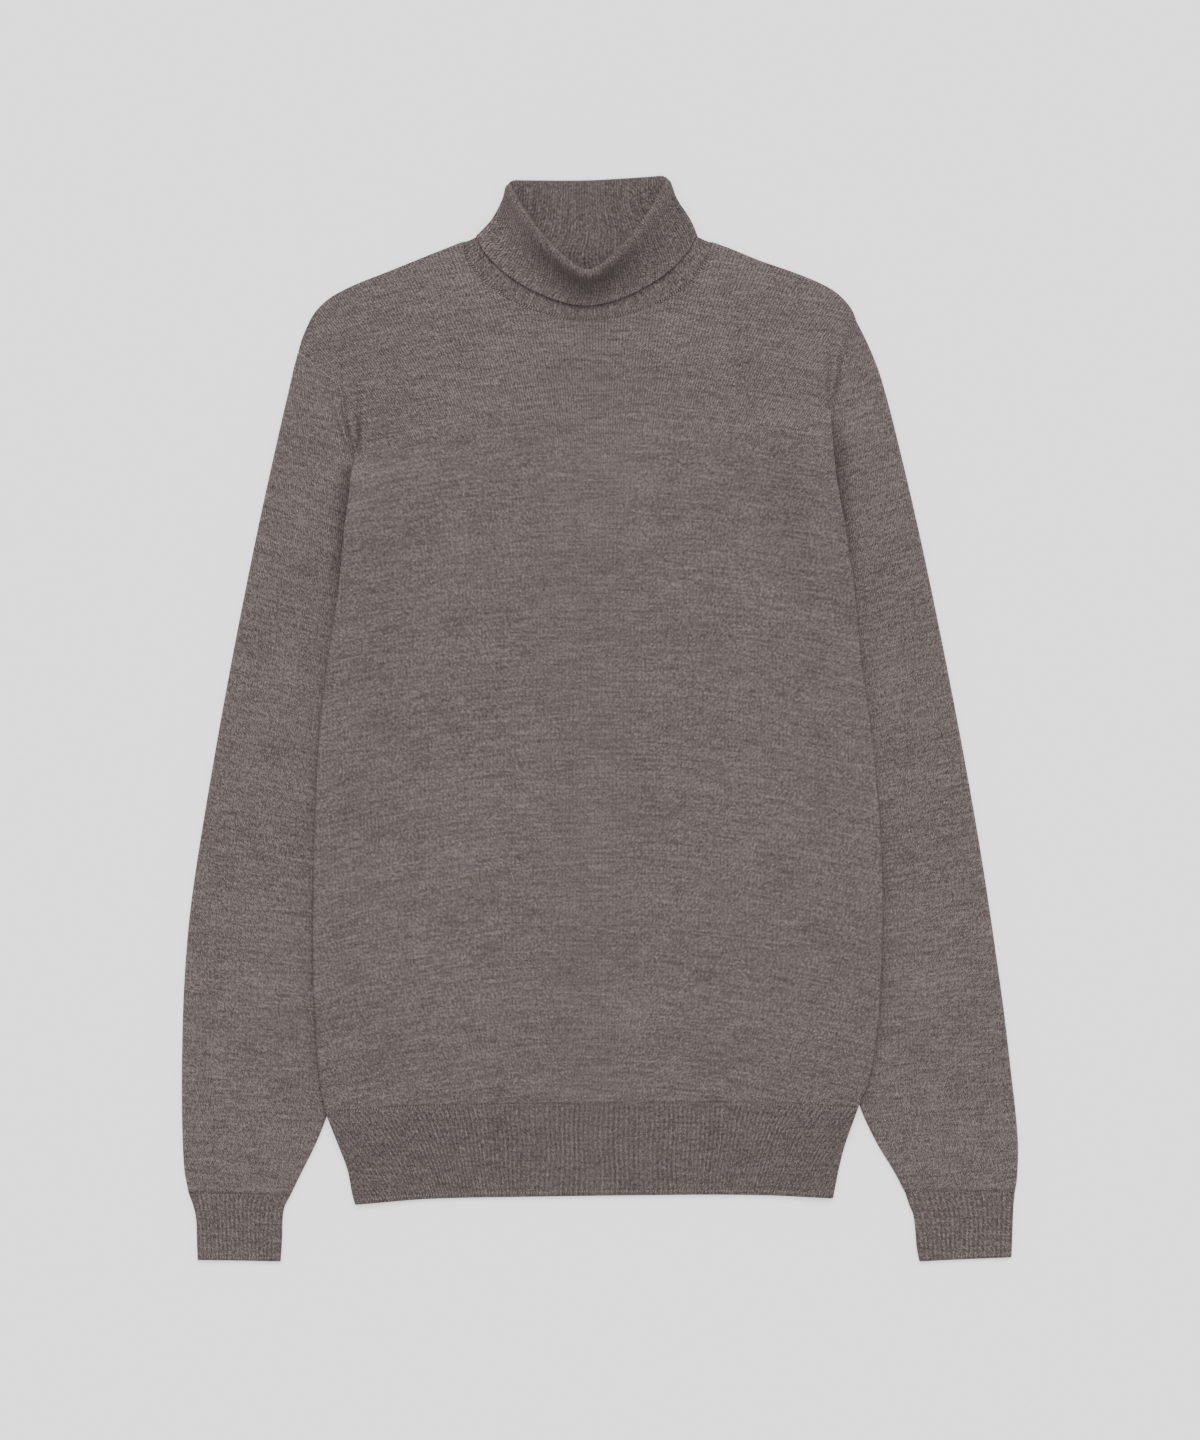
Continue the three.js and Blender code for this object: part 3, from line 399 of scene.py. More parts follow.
def body_height(upper, x, y, from_left, from_right):
    """Height of the middle of the body's lower or upper ply."""
    inset = np.minimum(from_left, from_right)
    is_left = from_left < from_right
    fold, under, bulge = (np.where(is_left, f(-1, y), f(1, y)) for f in (folded, tucked, full))
    bulge = bulge * BODY_BULGE * ease(BULGE_REACH, BULGE_FULL, inset)
    base = LEVEL + TUCK_LIFT * under * ease(TUCK_REACH, TUCK_FLAT, inset) + bulge
    t = np.clip(1 - inset / SIDE_RADIUS, 0, 1)
    curl = fold * (SIDE_RADIUS - GAP / 2) * (1 - np.sqrt(1 - t * t))
    if not upper:
        return base + curl
    loft = fold * (2 * SIDE_RADIUS - PLY) * ease(SIDE_LOFT_REACH, SIDE_LOFT_FULL, inset)
    c = np.clip((2 * x - NECK[-1][0] - NECK[1][0]) / (NECK[1][0] - NECK[-1][0]), -1, 1)
    below = neckline(NECK_DEPTH[True], c)[1] - y
    pulled = NECK_PULL * (1 - c * c) ** 2 * ease(NECK_PULL_REACH, 0, below)
    return base + PLY + loft - curl + pinched(x, y) + pulled


def neckline(depth, c):
    """A point of a neckline between its two shoulder points, at c from -1 to 1 across."""
    dip = depth * np.maximum(0, 1 - np.abs(c) ** NECK_BOW) ** (1 / NECK_BOW)
    return lerp(NECK[-1][0], NECK[1][0], (c + 1) / 2), lerp(NECK[-1][1], NECK[1][1], (c + 1) / 2) - dip


print("creases at the underarms:", len(CREASES))

# %% [markdown]
# ## The two panels
# A panel's grid follows its edges: the columns run from the hem to the shoulder and neckline, the
# rows from side to side. The loops follow it too, in low arches across the chest, as the photo's
# streaks do: the rib pulls the panel in below, and the shoulders hang lower than the neck.

# %% The two panels
NECK_SHARE = (0.286, 0.74)  # where the neckline starts and ends, as shares of the way across
EDGE_SHARE = 0.2  # how far in from a side edge the columns still follow its bends
FOLD_STEPS = np.array([0, 0.12, 0.4, 0.8, 1.3, 1.9, 2.6, 3.4])  # columns at a side, where the cloth turns
SHOULDER_COLUMN = (3.3 / 70, 3.3 / 58)  # step of the columns below each shoulder, as a share of its width
UPPER_PART = 0.78  # the share of the height above which the rows are closer
LOWER_ROW, UPPER_ROW = 3.4 / 430, 1.5 / 121  # step of the rows, as a share of their part
COARSER = 2.4  # how much longer the steps are on the back
ARCH = 26  # how much higher a row of loops is in the middle than at the sides
HALF_WIDTH = 200
WALE, COURSE = 1.3, 1.15  # width and height of a jersey loop
SHOULDER_SPREAD, HEM_DRAW = 0.004, 0.003  # how much the wales spread, for each millimetre


def side_edge(side, y):
    """The body's side edge at a height: the middle of the cloth there."""
    return read(BODY[side], y) - side * CLOTH / 2 * folded(side, y)


def guide(side, y):
    """The straight line that the armhole seam runs near, and the side edge below it."""
    arm, tip = UNDERARM[side], TIP[side]
    t = (y - arm) / (tip - arm)
    seam = lerp(side_edge(side, np.array(arm)), side_edge(side, np.array(tip)), t)
    return np.where(t > 0, seam, side_edge(side, y))


def foot_x(s):
    """How far across the foot of a panel is, between the feet of its sides."""
    return lerp(side_edge(-1, np.array(FOOT[-1])), side_edge(1, np.array(FOOT[1])), s)


def hem_seam(s):
    """The seam between a panel and its hem rib."""
    edge = read(HEM_EDGE, lerp(HEM_EDGE["x"][0], HEM_EDGE["x"][-1], s), "x", "y")
    bow = edge - lerp(HEM_EDGE["y"][0], HEM_EDGE["y"][-1], s)
    return foot_x(s), lerp(FOOT[-1], FOOT[1], s) + bow


def chord(s, r):
    """A panel's grid before its upper edge and its foot are curved: r is the share of the height."""
    yl, yr = lerp(FOOT[-1], TIP[-1], r), lerp(FOOT[1], TIP[1], r)
    x = lerp(guide(-1, yl), guide(1, yr), s)
    straight = lerp(foot_x(s), lerp(BODY[-1]["x"][-1], BODY[1]["x"][-1], s), r)
    x = lerp(x, straight, ease(0, NECK_SHARE[0] - 0.03, np.minimum(s, 1 - s)))
    x = x + (side_edge(-1, yl) - guide(-1, yl)) * np.maximum(0, 1 - s / EDGE_SHARE)
    x = x + (side_edge(1, yr) - guide(1, yr)) * np.maximum(0, 1 - (1 - s) / EDGE_SHARE)
    return x, lerp(yl, yr, s)


def panel_outline(upper, s):
    """The upper edge of a panel: shoulder, neckline, shoulder."""
    left, right = NECK_SHARE
    xl, yl = along(SHOULDER[-1], s / left)
    xr, yr = along(SHOULDER[1], (1 - s) / (1 - right))
    xn, yn = neckline(NECK_DEPTH[upper], np.clip(2 * (s - left) / (right - left) - 1, -1, 1))
    pick = [s < left, s > right]
    return np.select(pick, [xl, xr], xn), np.select(pick, [yl, yr], yn - GAP / 2)


def panel_grid(upper, fine):
    """Points, and the map of the cloth, of the front or back panel."""
    step = 1 if fine else COARSER
    side = np.concatenate([FOLD_STEPS, 4.3 + spaced(41, 1.3 * step)]) / (2 * HALF_WIDTH)
    shares = (NECK_SHARE[0], 1 - NECK_SHARE[1])
    left, right = (lerp(side[-1], v, spaced(1, c * step))[1:-1] for v, c in zip(shares, SHOULDER_COLUMN))
    turn = np.linspace(0, 1, 73 if fine else 31)
    neck = lerp(*NECK_SHARE, lerp(turn, (1 - np.cos(np.pi * turn)) / 2, 0.6))
    s = np.concatenate([side, left, neck, 1 - right[::-1], 1 - side[::-1]])[None, :]
    r = two_spacings(UPPER_PART, LOWER_ROW * step, UPPER_ROW * step)[:, None]
    s, r = np.broadcast_arrays(s, r)
    x, y = chord(s, r)
    fade = r ** lerp(24, 3, ease(0, 0.12, np.minimum(s, 1 - s)))
    for target, at, weight in ((panel_outline(upper, s), 1, fade), (hem_seam(s), 0, (1 - r) ** 3)):
        cx, cy = chord(s, np.full(s.shape, float(at)))
        x, y = x + (target[0] - cx) * weight, y + (target[1] - cy) * weight
    z = body_height(upper, x, y, x - x[:, :1], x[:, -1:] - x)
    return np.stack([x, y, z], 2)


def past(limit, value):
    """How far a value is past a limit, with a soft start."""
    return ((value - limit) + np.hypot(value - limit, 30)) / 2


def body_map(x, y):
    """Place in the cloth, in millimetres: across the wales, and along them in arched rows."""
    return np.stack([x + 400, y + ARCH * (x / HALF_WIDTH) ** 2 + 600], -1)


def body_stitches(x, y):
    """The count of loops. The wales spread out towards the shoulders and draw in towards the hem."""
    spread = np.exp(SHOULDER_SPREAD * past(150, y) - HEM_DRAW * past(200, -y))
    rows = y + ARCH * (x / HALF_WIDTH) ** 2 + 600
    return np.stack([(x / spread) / WALE + 400, rows / COURSE], -1)


def side_facing(grid, upper):
    """Which way a panel's cloth faces at its side edges: out at a fold."""
    facing = np.full(grid.shape, np.nan)
    for side, column in ((-1, 0), (1, -1)):
        fold = folded(side, grid[:, column, 1])
        way = np.stack([side * fold, 0 * fold, (1 if upper else -1) * (1 - fold)], 1)
        facing[:, column] = way / np.linalg.norm(way, axis=1, keepdims=True)
    return facing


def make_panel(name, upper):
    grid = panel_grid(upper, fine=upper)
    cloth = body_map(grid[..., 0], grid[..., 1])
    return wall(
        name, grid, outward=1 if upper else -1, facing=side_facing(grid, upper),
        cloth=cloth, stitch=body_stitches(grid[..., 0], grid[..., 1]),
    )


front = make_panel("sweater_front", True)
back = make_panel("sweater_back", False)

# %% [markdown]
# ## The hem ribs
# The hem is knitted in rib: wales that stand up and wales that sink in turn. It is narrower than
# the body, so it draws in, and near each side its wales lean and run over the fold to the back.
# The grid here is plain. Where a wale is, the map `stitch` says, and the ribs follow that.

# %% The hem ribs
HEM_WIDTH, HEM_DEPTH = 372, 64.8
RIB_PITCH = 3.55
# the hem rib is a little darker overall
HEM_TONE = 0.96
HEM_LEAN = 0.85  # how far the wales at the sides lean
WALE_STRENGTH = np.random.default_rng(5).uniform(0.35, 1.15, 512)


def wavy(x, y):
    """How far a wale wanders to one side, as a share of a wale, because the knit relaxes unevenly."""
    return 0.16 * np.sin(y / 8.3 + x / 23) + 0.12 * np.sin(y / 17 - x / 11)


def strength(wale):
    """How strongly a wale stands out. No two are alike."""
    return np.interp(wale % 511, np.arange(512), WALE_STRENGTH)


def hem_lean(x):
    return HEM_LEAN * ease(45, 190, np.abs(x)) * -np.sign(x)


def make_hem(name, upper):
    fold = FOLD_STEPS / HEM_WIDTH
    inner = lerp(fold[-1], 1 - fold[-1], spaced(1, (0.58 if upper else 3) / HEM_WIDTH))[1:-1]
    s = np.concatenate([fold, inner, 1 - fold[::-1]])[None, :]
    t = np.concatenate([[0, 0.3], spaced(64.4, 2.6)[1:-1], [64.1, 64.4, 64.65, HEM_DEPTH]]) / HEM_DEPTH
    s, t = np.broadcast_arrays(s, t[:, None])
    y0 = hem_seam(s)[1]
    yl, yr = lerp(FOOT[-1], HEM_EDGE["y"][0], t), lerp(FOOT[1], HEM_EDGE["y"][-1], t)
    xl = read(HEM_SIDE[-1], yl) + CLOTH / 2
    xr = read(HEM_SIDE[1], yr) - CLOTH / 2
    x = lerp(xl, xr, s)
    y = y0 + lerp(yl - FOOT[-1], yr - FOOT[1], s)
    z = body_height(upper, x, y, x - x[:, :1], x[:, -1:] - x)
    grid = np.stack([x, y, z], 2)
    lean = x - hem_lean(x) * (y0 - y)
    cloth = np.stack([x + 400, y + 600 + ARCH], -1)
    sides = ease(90, 165, np.abs(x))
    wale = (lean + 400) / RIB_PITCH + lerp(1, 0.35, sides) * wavy(x, y)
    stitch = np.stack([wale, (y + 600) / COURSE], -1)
    inset = np.minimum(x - x[:, :1], x[:, -1:] - x)
    raised = ease(0, 0.05, t) * ease(0, 6, inset) * lerp(strength(wale), 1.2, 0.8 * sides)
    return wall(
        name, grid, outward=-1 if upper else 1, facing=side_facing(grid, upper), cloth=cloth,
        stitch=stitch, tone=HEM_TONE, rib=raised if upper else 0, thick=edged((1 - t) * HEM_DEPTH),
    )


hem_front = make_hem("hem_rib_front", True)
hem_back = make_hem("hem_rib_back", False)

# %% [markdown]
# ## Sleeves and cuffs
# A sleeve is a tube pressed flat. A ring of points goes round it: over the outer fold, across the
# upper ply, under the inner fold and back. The rings fan out round the underarm, because the
# armhole seam runs steeply there. A cuff is a smaller tube of rib, drawn in from the sleeve.

# %% Sleeves and cuffs
FOLD = dict(outer=1.7, inner=1.25, cuff=1.3, shoulder=1.1)
FOLD_REACH = 26
CUFF_RIBS = 21
CUFF_DEPTH, CUFF_WIDTH, CUFF_STEP = 47.8, 70, 0.42
SLEEVE_WIDTH, SLEEVE_STEP = 115, 2.3
SLEEVE_ROWS = (0.24, 1.9 / 150, 3.6 / 465)  # where the upper part ends, and the step in it and below
SLANT_REACH = 8


def stations(step, width):
    """Where the points of a ring stand, all the way round the pressed tube."""
    angle = np.radians([0, 18, 36, 54, 72, 90])
    share = np.linspace(0, 1, max(4, round(width / step)))[1:-1] * 0.9 + 0.05
    runs = [  # fold angle, 0 for the outer fold, 2 for the inner one or 1 between, share across, and ply
        (angle, 0, 0, 1), (0, 1, share, 1), (angle[::-1], 2, 0, 1),
        (angle[1:], 2, 0, -1), (0, 1, share[::-1], -1), (angle[:0:-1], 0, 0, -1),
    ]
    return [np.concatenate(column) for column in zip(*(np.broadcast_arrays(*run) for run in runs))]


def tube(st, outer, inner, fold_out, fold_in, slants, bend, raise_by):
    """Rings of a pressed tube between two lines of points, one ring for each row."""
    turn, kind, place, ply = (v[None, :] for v in st)
    width = np.hypot(*(inner - outer).T)[:, None]
    radius = np.where(kind == 0, fold_out, fold_in)
    sine = np.where(kind == 0, slants[0], slants[1])
    inset = (CLOTH / 2 + radius * (1 - np.cos(turn))) / sine / width
    s = np.select([kind == 0, kind == 2], [inset, 1 - inset], place)
    x = lerp(outer[:, :1], inner[:, :1], s)
    y = lerp(outer[:, 1:], inner[:, 1:], s)
    x = x + bend(s)
    apart = PLY + (2 * fold_out - PLY) * ease(FOLD_REACH, 4, s * width)
    apart = apart + (2 * fold_in - PLY) * ease(FOLD_REACH, 4, (1 - s) * width)
    curl = np.where(kind == 1, 0, radius * (1 - np.sin(turn)))
    upper = apart + raise_by(x, y, s * width, (1 - s) * width) * (1 - curl / 1.7) - curl
    return np.stack([x, y, LEVEL + np.where(ply > 0, upper, curl)], 2), s


def slant(table, y, across):
    """The sine of the angle between an edge of the sleeve and the line across it."""
    run = read(table, y + SLANT_REACH) - read(table, y - SLANT_REACH)
    rise = 2 * SLANT_REACH
    sine = np.abs(run * across[:, 1] - rise * across[:, 0]) / np.hypot(run, rise) / np.hypot(*across.T)
    return np.maximum(0.5, sine)


def edge_line(table, q):
    """The points of an edge at shares q of its height."""
    y = lerp(table["y"][0], table["y"][-1], q)
    return np.stack([read(table, y), y], 1)


def sleeve_map(side, grid):
    """Place in a sleeve's cloth. The rows of loops lie square to the sleeve, which leans out."""
    x, y = grid[..., 0], grid[..., 1]
    outer, inner = (read(SLEEVE[side][edge], y) for edge in ("outer", "inner"))
    middle = lerp(outer, inner, 0.5)
    lean = lerp(0.07, 0.36, ease(-300, 210, y))
    return np.stack([x - middle + 300, y - side * lean * (x - middle) + 700], -1)


def make_sleeve(name, side):
    cut = SLEEVE[side]
    q = two_spacings(*SLEEVE_ROWS)
    outer = edge_line(cut["outer"], q)
    inner = edge_line(cut["inner"], q * (1 - 0.95 * (1 - q) ** 6))
    fade = ((1 - q) ** 12)[:, None]

    def bend(s):
        armhole = read(BODY[side], lerp(TIP[side], UNDERARM[side], s))
        straight = lerp(BODY[side]["x"][-1], read(BODY[side], np.array(UNDERARM[side])), s)
        return (armhole - straight) * fade

    across = inner - outer
    blend = ease(0.01, 0.05, q)
    lines = (("outer", outer), ("inner", inner))
    slants = [lerp(1, slant(cut[edge], line[:, 1], across), blend)[:, None] for edge, line in lines]
    fold_out = lerp(FOLD["shoulder"], FOLD["outer"], ease(0, 0.08, q))[:, None]
    st = stations(SLEEVE_STEP, SLEEVE_WIDTH)

    def puffed(x, y, from_outer, from_inner):
        bulge = full(side, y) * ease(7, 27, from_inner) * ease(0, 45, from_outer)
        return pinched(x, y) + SLEEVE_BULGE * bulge

    grid, _ = tube(st, outer, inner, fold_out, FOLD["inner"], slants, bend, puffed)
    cloth = sleeve_map(side, grid)
    cloth[..., 0] += np.where(st[3] < 0, 250, 0)
    return wall(name, grid, closed=True, outward=side, cloth=cloth, stitch=cloth / [WALE, COURSE])


def make_cuff(name, side):
    cut = SLEEVE[side]
    q = np.concatenate([[0, 0.3], spaced(47, 1.6)[1:-1], [47, 47.3, 47.6, CUFF_DEPTH]]) / CUFF_DEPTH
    ends = [edge_line(cut[edge], q) for edge in ("cuff_outer", "cuff_inner")]
    fold_out = lerp(FOLD["outer"], FOLD["cuff"], q)[:, None]
    fold_in = lerp(FOLD["inner"], FOLD["cuff"], q)[:, None]
    st = stations(CUFF_STEP, CUFF_WIDTH)
    grid, share = tube(st, *ends, fold_out, fold_in, (1, 1), lambda s: 0, lambda x, *_: 0 * x)
    wale = np.where(st[3] > 0, share * CUFF_RIBS, 2 * CUFF_RIBS - share * CUFF_RIBS)
    cloth = np.stack([wale * 3, grid[..., 1] + 700], -1)
    stitch = np.stack([wale + 0.7 * wavy(wale * 3, grid[..., 1]), (grid[..., 1] + 700) / COURSE], -1)
    shown = ease(-0.2, 0.6, (st[3] > 0) * np.sin(np.where(st[1] == 1, np.pi / 2, st[0])))[None, :]
    return wall(
        name, grid, closed=True, outward=side, cloth=cloth, stitch=stitch,
        rib=shown * ease(0, 0.03, q)[:, None] * strength(wale + 31),
        thick=edged((1 - q) * CUFF_DEPTH)[:, None],
    )


sleeve_left = make_sleeve("sleeve_left_knit", -1)
sleeve_right = make_sleeve("sleeve_right_knit", 1)
cuff_left = make_cuff("cuff_left_rib", -1)
cuff_right = make_cuff("cuff_right_rib", 1)

# %% [markdown]
# ## The collar
# The collar is one long rib tube. It stands up from the neck seam, rolls over at the rim and comes
# down outside itself to a free edge. Laid down, its back is flat and its front leans back as a
# steep roll, so the inside of the back shows. Each column of the table is a ring round the neck: two
# corners and their rounding, how far its front and back dip, and how high they are.

# %% The collar
COLLAR = dict(
    yl=[348, 357.6, 374, 386.5, 388.8, 386.5, 374.5, 359.6, 348.2],
    xl=[-87.6, -75.6, -67.2, -65, -66.6, -67.4, -69.8, -77.6, -89],
    yr=[348.5, 358.1, 374.5, 389.4, 392.2, 389.4, 375, 360, 349.2],
    xr=[68, 61.6, 50.6, 48.4, 49.6, 50.6, 54.9, 64.4, 69.4],
    round=[0.5, 0.5, 1.5, 5, 6, 5, 1.5, 1, 2],
    dip_front=[49, 49.2, 58.5, 69.4, 74.2, 74.6, 62.6, 54.9, 52],
    bow=[1.65, 1.55, 1.42, 1.32, 1.28, 1.32, 1.44, 1.52, 1.55],
    z_front=[6, 8.3, 16, 25, 30, 28.6, 17.4, 9.9, 8.2],
    dip_back=[12, 8.5, 4.5, 2.4, 2.2, 2.4, 4.5, 7, 8.5],
    z_back=[2.55, 2.55, 2.55, 2.55, 1.65, 0.75, 0.75, 0.75, 0.75],
    r=[1.9, 1.9, 1.9, 1.9, 2.8, 3.7, 3.7, 3.7, 3.7],
)
LOW_POINT = 0.1  # how round the collar is at its lowest, as a share of its half width
COLLAR_MIDDLE = 4.45  # height about which the collar's corners turn
COLLAR_RIBS = (95, 62)  # front, back
STEPS_PER_RIB = 5
RIM = 4  # the column of the table at the rim
RIM_REACH = 6  # the rings are closer as far as this from the rim
STAND = [-9, -7.9, -6.3, -4.5, -2.7, -1.3]  # where the lowest rings are, before the table's first
STAND_SHARES = [0, 0.12, 0.3, 0.5, 0.7, 0.86]  # of the way from the neck seam to that first one


def turn_at(angle, radius):
    front_way = -np.sin(angle)
    return front_way / np.hypot(front_way, 0.05 + 0.025 * radius)


def ring_point(ring, angle):
    """A point of a collar ring: 0 is the right corner, and the front has a negative sine."""
    c = np.cos(angle)
    turn = turn_at(angle, ring["r"])
    curve = np.maximum(0, 1 - np.hypot(c, LOW_POINT) ** ring["bow"]) ** (1 / ring["bow"])
    dip = lerp(ring["dip_back"], ring["dip_front"], (turn + 1) / 2)
    middle = np.maximum(0, 1 - c * c)
    high = ring["z_front"] - COLLAR_MIDDLE - ring["r"]
    low = ring["z_back"] - COLLAR_MIDDLE + ring["r"]
    near = np.clip(1 - (1 - np.abs(c)) * (ring["xr"] - ring["xl"]) / 2 / ring["round"], 0, 1)
    corner = ring["round"] * (1 - np.sqrt(1 - near * near))
    return np.stack([
        lerp(ring["xl"], ring["xr"], (c + 1) / 2),
        lerp(ring["yl"], ring["yr"], (c + 1) / 2) - dip * curve - corner,
        COLLAR_MIDDLE + turn * ring["r"] + np.where(turn > 0, high * middle, low * np.sqrt(middle)),
    ], -1)


def root_point(angle):
    """A point of the collar's lower edge, on the necklines of the two panels."""
    turn = turn_at(angle, PLY / 2)
    c = np.cos(angle)
    away = np.sqrt(1 - turn * turn)
    out = []
    for upper in (True, False):
        x, y = neckline(NECK_DEPTH[upper], c)
        x, y = x * (1 - 0.004 * away), y + GAP / 2
        z = body_height(upper, x, y, 150 + 0 * x, 150 + 0 * x)
        out.append(np.stack([x, y, lerp(LEVEL + PLY / 2, z, np.abs(turn))], -1))
    p = np.where(turn[..., None] > 0, out[0], out[1])
    p[..., 0] -= np.sign(c) * 0.27 * away
    p[..., 1] -= 0.7 * away
    return p


def even_angles(point, start, end, count):
    fine = np.linspace(start, end, 1200)
    step = np.linalg.norm(np.diff(point(fine), axis=0), axis=1)
    length = np.concatenate([[0], np.cumsum(step)])
    return np.interp(np.linspace(0, length[-1], count + 1)[:-1], length, fine)


def collar_rings():
    """The rings' numbers, smooth along the cloth: how far along it each ring is, and its values."""
    front_y = (np.array(COLLAR["yl"]) + COLLAR["yr"]) / 2 - COLLAR["dip_front"]
    place = np.concatenate([[0], np.cumsum(np.hypot(np.diff(front_y), np.diff(COLLAR["z_front"])))])
    at = np.concatenate([spaced(place[-1] - 0.9, 1.7), place[-1] - np.array([0.5, 0.2, 0])])
    near_rim = place[RIM] + np.linspace(-RIM_REACH, RIM_REACH, 15)
    at = np.sort(np.concatenate([at[np.abs(at - place[RIM]) > RIM_REACH + 0.3], near_rim]))
    table = dict(COLLAR, at=place)
    return at, place, [{key: read(table, np.array(v), "at", key) for key in COLLAR} for v in at]


def make_collar(name):
    counts = [n * STEPS_PER_RIB for n in COLLAR_RIBS]
    at, place, rings = collar_rings()
    points = [root_point] + [lambda a, ring=ring: ring_point(ring, a) for ring in rings]
    rows = []
    for point in points:
        angles = np.concatenate([
            even_angles(point, -np.pi, 0, counts[0]),
            even_angles(point, 0, np.pi, counts[1]),
        ])
        rows.append(point(angles))
    grid = np.array([lerp(rows[0], rows[1], t) for t in STAND_SHARES] + rows[1:])
    length = np.concatenate([STAND, at])
    wale = np.arange(sum(counts)) / STEPS_PER_RIB
    wale, course = np.meshgrid(wale, length)
    down = ease(place[RIM] - 1, place[RIM] + 1, length)[:, None]
    is_front = (np.arange(sum(counts)) <= counts[0])[None, :]
    rib = np.where(is_front, 1, 1 - down) * ease(0, 0.6, np.arange(len(length)))[:, None]
    cloth = np.stack([course + 300, wale * 2.1], -1)
    stitch = np.stack([wale, (course + 300) / COURSE], -1)
    rim, below, *lower = place[RIM:RIM + 4]
    # painted light and shade along the collar: the stand near the neck seam and the free edge are painted
    # lighter, and the steep band below the rim darker
    painted_light_at = [STAND[0], 6, 16, rim - 4, rim + 2, below + 3, *lower, length[-1]]
    tone = np.interp(length, painted_light_at, [1.16, 1.14, 1, 1, 1.03, 0.97, 0.91, 1.01, 1.1])[:, None]
    # painted light: the left part of the collar's front is painted lighter, from the rim down
    left = np.interp(np.arange(sum(counts)) / counts[0], [0, 0.08, 0.3], [1, 1, 0])[None, :]
    tone = tone * (1 + 0.1 * left * ease(rim, below, length)[:, None])
    return wall(
        name, grid, closed=True, outward=-1, cloth=cloth, stitch=stitch, rib=rib, tone=tone,
        thick=edged(length[-1] - length)[:, None],
    )


collar = make_collar("collar_rib")

# %% [markdown]
# ## Raising the ribs
# A rib stands out where its wale faces you and sinks where the next one turns away. One node tree
# does this on every ribbed piece: it reads the count of wales, makes a rounded wave of it and moves
# both faces of the cloth together, so the knit keeps its thickness.

# %% Raising the ribs
RIB_ROUNDNESS = 0.8  # below 1, a rib is broader than the furrow beside it
RIB_HEIGHTS = dict(hem_rib_front=0.0008, cuff_left_rib=0.00035, cuff_right_rib=0.00035, collar_rib=0.0005)
TURN = 2 * math.pi


def node(tree, kind, inputs=None, **settings):
    """A new node. Each input takes a plain value, or the output of another node."""
    made = tree.nodes.new(kind)
    for key_name, value in settings.items():
        setattr(made, key_name, value)
    for key_name, value in (inputs or {}).items():
        if isinstance(value, bpy.types.NodeSocket):
            tree.links.new(value, made.inputs[key_name])
        else:
            made.inputs[key_name].default_value = value
    return made


def maths(tree, operation, *values):
    return node(tree, "ShaderNodeMath", dict(enumerate(values)), operation=operation).outputs[0]


def builders(tree):
    """The two functions above for one tree, and those of them that are used most."""
    make, calc = partial(node, tree), partial(maths, tree)
    return make, calc, partial(calc, "ADD"), partial(calc, "MULTIPLY")


def new_tree(kind, name, inputs, outputs):
    """A node tree. Its inputs and outputs are each a name, a kind of socket and perhaps a value."""
    tree = bpy.data.node_groups.new(name, kind)
    for way, rows in (("INPUT", inputs), ("OUTPUT", outputs)):
        for label, socket, *value in rows:
            item = tree.interface.new_socket(name=label, in_out=way, socket_type="NodeSocket" + socket)
            if value:
                item.default_value = value[0]
    return tree, node(tree, "NodeGroupInput").outputs, node(tree, "NodeGroupOutput").inputs


def rib_tree():
    tree, given, result = new_tree(
        "GeometryNodeTree", "raise_ribs",
        [("Geometry", "Geometry"), ("Height", "Float", 0.0005), ("Roundness", "Float", RIB_ROUNDNESS),
         ("Material", "Material")],
        [("Geometry", "Geometry")],
    )
    make, calc, _, times = builders(tree)
    wale, rib, out = (
        make("GeometryNodeInputNamedAttribute", {"Name": name}, data_type=kind).outputs[0]
        for name, kind in (("wale", "FLOAT"), ("rib", "FLOAT"), ("out", "FLOAT_VECTOR"))
    )
    wave = calc("COSINE", times(wale, TURN))
    bump = calc("POWER", calc("MULTIPLY_ADD", wave, 0.5, 0.5), given["Roundness"])
    height = times(times(bump, rib), given["Height"])
    move = make("ShaderNodeVectorMath", {0: out, "Scale": height}, operation="SCALE")
    place = make("GeometryNodeSetPosition", {"Geometry": given["Geometry"], "Offset": move.outputs[0]})
    real = make("GeometryNodeRealizeInstances", {0: place.outputs[0]})
    paint = make("GeometryNodeSetMaterial", {"Geometry": real.outputs[0], "Material": given["Material"]})
    tree.links.new(paint.outputs[0], result[0])
    return tree


def apply_tree(piece, tree, **values):
    """Run a node tree on a piece and keep what it makes as the piece's own plain mesh."""
    modifier = piece.modifiers.new("nodes", "NODES")
    modifier.node_group = tree
    for item in tree.interface.items_tree:
        if item.item_type == "SOCKET" and item.in_out == "INPUT" and item.name in values:
            modifier[item.identifier] = values[item.name]
    bpy.context.view_layer.update()
    graph = bpy.context.evaluated_depsgraph_get()
    made = bpy.data.meshes.new_from_object(
        piece.evaluated_get(graph), preserve_all_data_layers=True, depsgraph=graph,
    )
    piece.modifiers.remove(modifier)
    piece.data = made
    made.name = piece.name
    print(f"{piece.name}: {len(made.polygons)} faces after {tree.name}")


ribs = rib_tree()

# %% [markdown]
# ## The yarn
# The wool is a heather: fibres of light and dark grey-brown are spun together, so the colour drifts
# along each row of loops in short streaks. One shader group paints that from the `cloth` map, and
# another makes the loops' small V shapes from the `stitch` map. Both materials share them.

# %% The yarn
STREAKS = [  # size along the rows of loops and across them in metres, detail, seed and weight
    (0.026, 0.0021, 1, 3.1, 0.48),
    (0.008, 0.0012, 2, 7.7, 0.3),
    (0.1, 0.03, 1, 1.3, 0.15),
    (0.0016, 0.012, 1, 5.9, 0.1),
]
LEG_SIZE = (0.0016, 0.00048, 0, 11.3)
FINE_SIZE = (0.0009, 0.00062, 0, 4.7)
LEG_LEAN = math.radians(32)  # how far the legs of a loop lean from the wale
LEG_GRAIN, FINE_GRAIN = 1.15, 0.55
TONE_CURVE = 1.6  # the light fibres are fewer than the dark ones
LOOP_LEAN = 0.55


